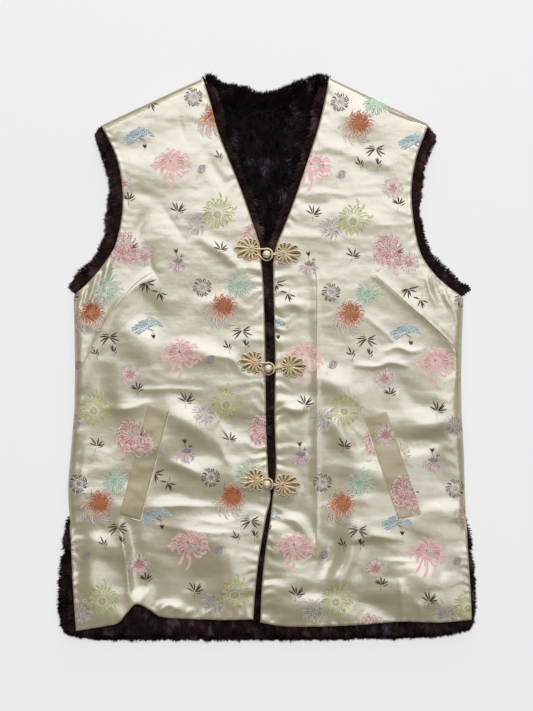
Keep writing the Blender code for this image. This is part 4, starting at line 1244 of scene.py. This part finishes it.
def loop_and_stem(frog):
    """The loop round the button, and the doubled stem that ties the button to its flower."""
    low = CALM_TOP + CORD / 2 - 0.2
    angle = np.linspace(LOOP_END, -LOOP_END, 30)
    x = frog.button[0] + LOOP_RADIUS * np.cos(angle)
    y = frog.button[1] + LOOP_RADIUS * np.sin(angle)
    turn = np.column_stack([x, y, low + (CORD + GAP) * smoothstep(np.cos(angle), 0.2, 0.85)])
    middle = np.array([*frog.loop, low])
    ends = []
    for point in (turn[0], turn[-1]):
        angle = math.atan2(*(point - middle)[1::-1])
        away = petal_reach(angle, math.pi) - 2.0
        ends.append(middle + np.array([math.cos(angle), math.sin(angle), 0]) * away)
    path = at_shares(cubic(np.vstack([ends[0], turn, ends[1]]), 4), np.linspace(0, 1, 64))
    cord_piece(f"{frog.name}_loop_cord", f"{frog.name}_loop", [tube(path, CORD / 2, 10)], piping())
    start = np.array([frog.flower[0] - INNER_PETAL + 2.5, frog.flower[1], low - 0.1])
    end = np.array([frog.button[0] + 4.0, frog.button[1], low - 0.1])
    along = np.linspace(start, end, 12)
    parts = [tube(along + (0, shift, 0), 0.8, 8) for shift in (-0.75, 0.75)]
    cord_piece(f"{frog.name}_stem_cord", f"{frog.name}_stem", parts, piping())


# Materials


def feed(made, target, source):
    """Give an input a value, or wire another node's output to it."""
    if isinstance(source, bpy.types.NodeSocket):
        made.node_tree.links.new(source, target)
    else:
        target.default_value = source


def node(made, kind, inputs, **settings):
    new = made.node_tree.nodes.new(kind)
    for key, value in settings.items():
        setattr(new, key, value)
    for key, source in inputs.items():
        feed(made, new.inputs[key], source)
    return new.outputs


def material(name, inputs):
    """A new material and its main shader with these inputs."""
    made = bpy.data.materials.new(name)
    made.use_nodes = True
    shader = made.node_tree.nodes["Principled BSDF"]
    for key, value in inputs.items():
        feed(made, shader.inputs[key], value)
    return made, shader


def noise_at(made, scale, detail, stretch=(1, 1, 1)):
    """Noise over the object's own space. stretch above 1 makes it finer along that axis."""
    here = node(made, "ShaderNodeTexCoord", {})["Object"]
    shaped = node(made, "ShaderNodeMapping", {"Vector": here, "Scale": stretch})["Vector"]
    inputs = {"Vector": shaped, "Scale": scale, "Detail": detail}
    return node(made, "ShaderNodeTexNoise", inputs)["Fac"]


def ramp(made, source, stops):
    bands = made.node_tree.nodes.new("ShaderNodeValToRGB")
    while len(bands.color_ramp.elements) < len(stops):
        bands.color_ramp.elements.new(0.5)
    for element, (at, colour) in zip(bands.color_ramp.elements, stops):
        element.position = at
        element.color = (*colour, 1)
    feed(made, bands.inputs["Fac"], source)
    return bands.outputs["Color"]


def bump(made, shader, source, strength, distance, under=None):
    """Bumps that follow a noise, on top of another bump's normal if there is one."""
    inputs = {"Height": source, "Strength": strength, "Distance": distance}
    if under:
        inputs["Normal"] = under
    normal = node(made, "ShaderNodeBump", inputs)["Normal"]
    feed(made, shader.inputs["Normal"], normal)
    return normal


def tinted(name, inputs, grain, stops):
    """A material whose colour follows a noise, with its shader and that noise."""
    made, shader = material(name, inputs)
    source = noise_at(made, *grain)
    feed(made, shader.inputs["Base Color"], ramp(made, source, stops))
    return made, shader, source


def scaled(colour, factor):
    return tuple(min(c * factor, 1.0) for c in colour)


@cache
def satin(name, colour):
    """Silk satin: a soft gloss over a fine weave, with uneven threads."""
    dull = colour in (WELT_SATIN, SHOULDER_SHADE_SATIN)
    inputs = {
        "IOR": 1.7 if dull else 2.3,
        "Roughness": 0.46 if dull else 0.285,
        "Specular Tint": (0.97, 0.985, 0.99, 1),
    }
    stops = ((0.25, scaled(colour, 0.95)), (0.75, scaled(colour, 1.04)))
    made, shader, slubs = tinted(name, inputs, (260, 4, (0.12, 1, 1)), stops)
    crinkles = bump(made, shader, noise_at(made, 60, 5), 0.42, 0.0012)
    bump(made, shader, slubs, 0.18, 0.0004, crinkles)
    return made


@cache
def thread(name):
    """Brocade thread, floated over the satin: less glossy, with fine ribs."""
    inputs = {"Roughness": 0.5, "Specular IOR Level": 0.2, "Sheen Weight": 0.03}
    stops = ((0.3, scaled(THREADS[name], 0.82)), (0.7, scaled(THREADS[name], 1.12)))
    made, shader, ribs = tinted(f"thread {name}", inputs, (900, 2, (0.25, 1, 1)), stops)
    bump(made, shader, ribs, 0.25, 0.0003)
    return made


@cache
def fur_hair():
    """Near-black brown hair, with painted cool highlights on the tips that stand up."""
    made, shader = material("fur hair", {"Roughness": 0.4, "Specular IOR Level": 0.04})
    tone = node(made, "ShaderNodeAttribute", {}, attribute_name="tone")["Fac"]
    warm = node(made, "ShaderNodeAttribute", {}, attribute_name="warm")["Fac"]
    factor = node(made, "ShaderNodeMath", {0: warm, 1: 0.5}, operation="ADD", use_clamp=True)["Value"]
    inputs = {"Factor": factor, "A": ramp(made, tone, COOL_HAIR_AND_GLINTS), "B": ramp(made, tone, WARM_HAIR)}
    mixed = node(made, "ShaderNodeMix", inputs, data_type="RGBA")["Result"]
    feed(made, shader.inputs["Base Color"], mixed)
    return made


@cache
def fur_skin():
    stops = ((0.3, (0.001, 0.0006, 0.0006)), (0.7, (0.005, 0.0025, 0.0025)))
    inputs = {"Roughness": 0.9, "Specular IOR Level": 0.05}
    made, shader, _ = tinted("fur skin", inputs, (120, 5), stops)
    bump(made, shader, noise_at(made, 700, 3, (1, 0.3, 1)), 0.9, 0.002)
    return made


@cache
def piping(name="piping", gold=FROG_GOLD):
    """Rolled satin cord of the frogs, gold-beige with a few woven flecks, or a matte near-black for the
    sheet of painted shade under the petals.
    """
    inputs = {"Metallic": 0.25, "Roughness": 0.36}
    # matte near-black for the painted shade under the petals
    if gold is FROG_PAINTED_SHADE:
        inputs = {"Metallic": 0.0, "Roughness": 0.9, "Specular IOR Level": 0.1}
    stops = (
        (0.0, scaled(gold, 0.6)),
        (0.42, gold),
        (0.62, scaled(gold, 1.2)),
        (0.66, (gold[0] * 1.2, gold[1] * 0.6, gold[2] * 0.6)),
        (0.72, scaled(gold, 1.4)),
    )
    made, shader, _ = tinted(name, inputs, (95, 2), stops)
    bump(made, shader, noise_at(made, 1500, 2), 0.3, 0.0004)
    return made


# Stage


def floor():
    """Pale ground that is partly lit from within, so that it stays even under the lamps."""
    bpy.ops.mesh.primitive_plane_add(size=FLOOR_SIZE, location=(0, 0, FLOOR_Z * MM))
    made = bpy.context.object
    made.name = "floor"
    inputs = {
        "Base Color": (0.12, 0.12, 0.12, 1),
        "Roughness": 1.0,
        "Specular IOR Level": 0.0,
        "Emission Color": (1, 1, 1, 1),
        "Emission Strength": FLOOR_GLOW,
    }
    made.data.materials.append(material("floor", inputs)[0])


def lights():
    """Soft rectangular lamps that face the vest, in a dim room."""
    world = bpy.data.worlds.new("studio")
    world.use_nodes = True
    room = world.node_tree.nodes["Background"].inputs
    room["Color"].default_value = ROOM_COLOUR
    room["Strength"].default_value = ROOM_LIGHT
    bpy.context.scene.world = world
    for name, place_at, look_at, size, power in LAMPS:
        data = bpy.data.lights.new(name, "AREA")
        data.shape = "RECTANGLE"
        data.size, data.size_y = size
        data.energy = power
        made = bpy.data.objects.new(name, data)
        made.location = place_at
        ahead = Vector(look_at) - Vector(place_at)
        made.rotation_euler = ahead.to_track_quat("-Z", "Y").to_euler()
        bpy.context.scene.collection.objects.link(made)
    bpy.context.scene.view_settings.view_transform = "Standard"
    bpy.context.scene.view_settings.look = "None"


def camera():
    data = bpy.data.cameras.new("camera")
    data.sensor_fit = "VERTICAL"
    data.sensor_height = SENSOR
    tall = FRAME_HEIGHT * PIXEL
    data.lens = SENSOR * (CAMERA_HEIGHT - FRONT_TOP) / tall
    data.clip_end = FAR_CLIP
    made = bpy.data.objects.new("camera", data)
    x = (FRAME_WIDTH / 2 - MIDDLE_PIXEL[0]) * PIXEL
    y = (MIDDLE_PIXEL[1] - FRAME_HEIGHT / 2) * PIXEL
    made.location = (x * MM, y * MM, CAMERA_HEIGHT * MM)
    bpy.context.scene.collection.objects.link(made)
    bpy.context.scene.camera = made


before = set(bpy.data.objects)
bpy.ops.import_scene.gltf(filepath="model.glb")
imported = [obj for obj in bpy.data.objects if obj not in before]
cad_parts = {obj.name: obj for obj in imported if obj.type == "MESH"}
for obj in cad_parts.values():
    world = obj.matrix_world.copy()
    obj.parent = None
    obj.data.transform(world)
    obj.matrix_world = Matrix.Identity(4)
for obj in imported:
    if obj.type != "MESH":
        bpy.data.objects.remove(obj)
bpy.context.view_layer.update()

camera()
lights()
floor()

for side, edges, folds, seams, seed, weave, corners in (
    ("right", RIGHT_EDGES, RIGHT_FOLDS, RIGHT_SEAMS, 3.7, RIGHT_WEAVE, RIGHT_WELT),
    ("left", LEFT_EDGES, LEFT_FOLDS, LEFT_SEAMS, 8.2, LEFT_WEAVE, LEFT_WELT),
):
    panel, tree, lines = front_satin(side, edges, folds, seed)
    strip_tree = pocket_welt(side, corners, tree)
    for number, way in enumerate(seams):
        seam(f"{side}_front_seam_{number}", way, tree)
    # a strip of painted shade along the shoulder
    shoulder_shade_band(side, lines["shoulder"], tree)
    top_inner, top_outer, foot_inner, foot_outer = corners
    # the welts' edges, laid in the pale satin as painted highlight
    for edge, start, end, width in (
        ("fold", top_inner, foot_inner, 0.85),
        ("top", top_inner, top_outer, 0.5),
        ("foot", foot_inner, foot_outer, 0.5),
    ):
        way = (start, tuple((a + b) / 2 for a, b in zip(start, end)), end)
        seam(f"{side}_pocket_{edge}", way, strip_tree, width, 0.45, EDGE_HIGHLIGHT_SATIN, "welt_satin")
    cover = weave_on(weave, tree, (top_inner, foot_inner, foot_outer, top_outer))
    brocade(f"{side}_front_brocade", cover, "satin")
    cover = {}
    for motif, x, y in WELT_BLOOMS[side]:
        lay_motif(cover, motif, (x, y), 0.0, strip_tree)
    brocade(f"{side}_welt_brocade", cover, "welt_satin")

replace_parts(copied("back_satin", "back_shell", satin("shell satin", SATIN)), "back_shell")
lining()
for frog in FROGS:
    frog_flower(f"{frog.name}_loop_flower", frog.loop, math.pi)
    frog_flower(f"{frog.name}_button_flower", frog.flower, 0.0)
    knot_ball(frog)
    loop_and_stem(frog)
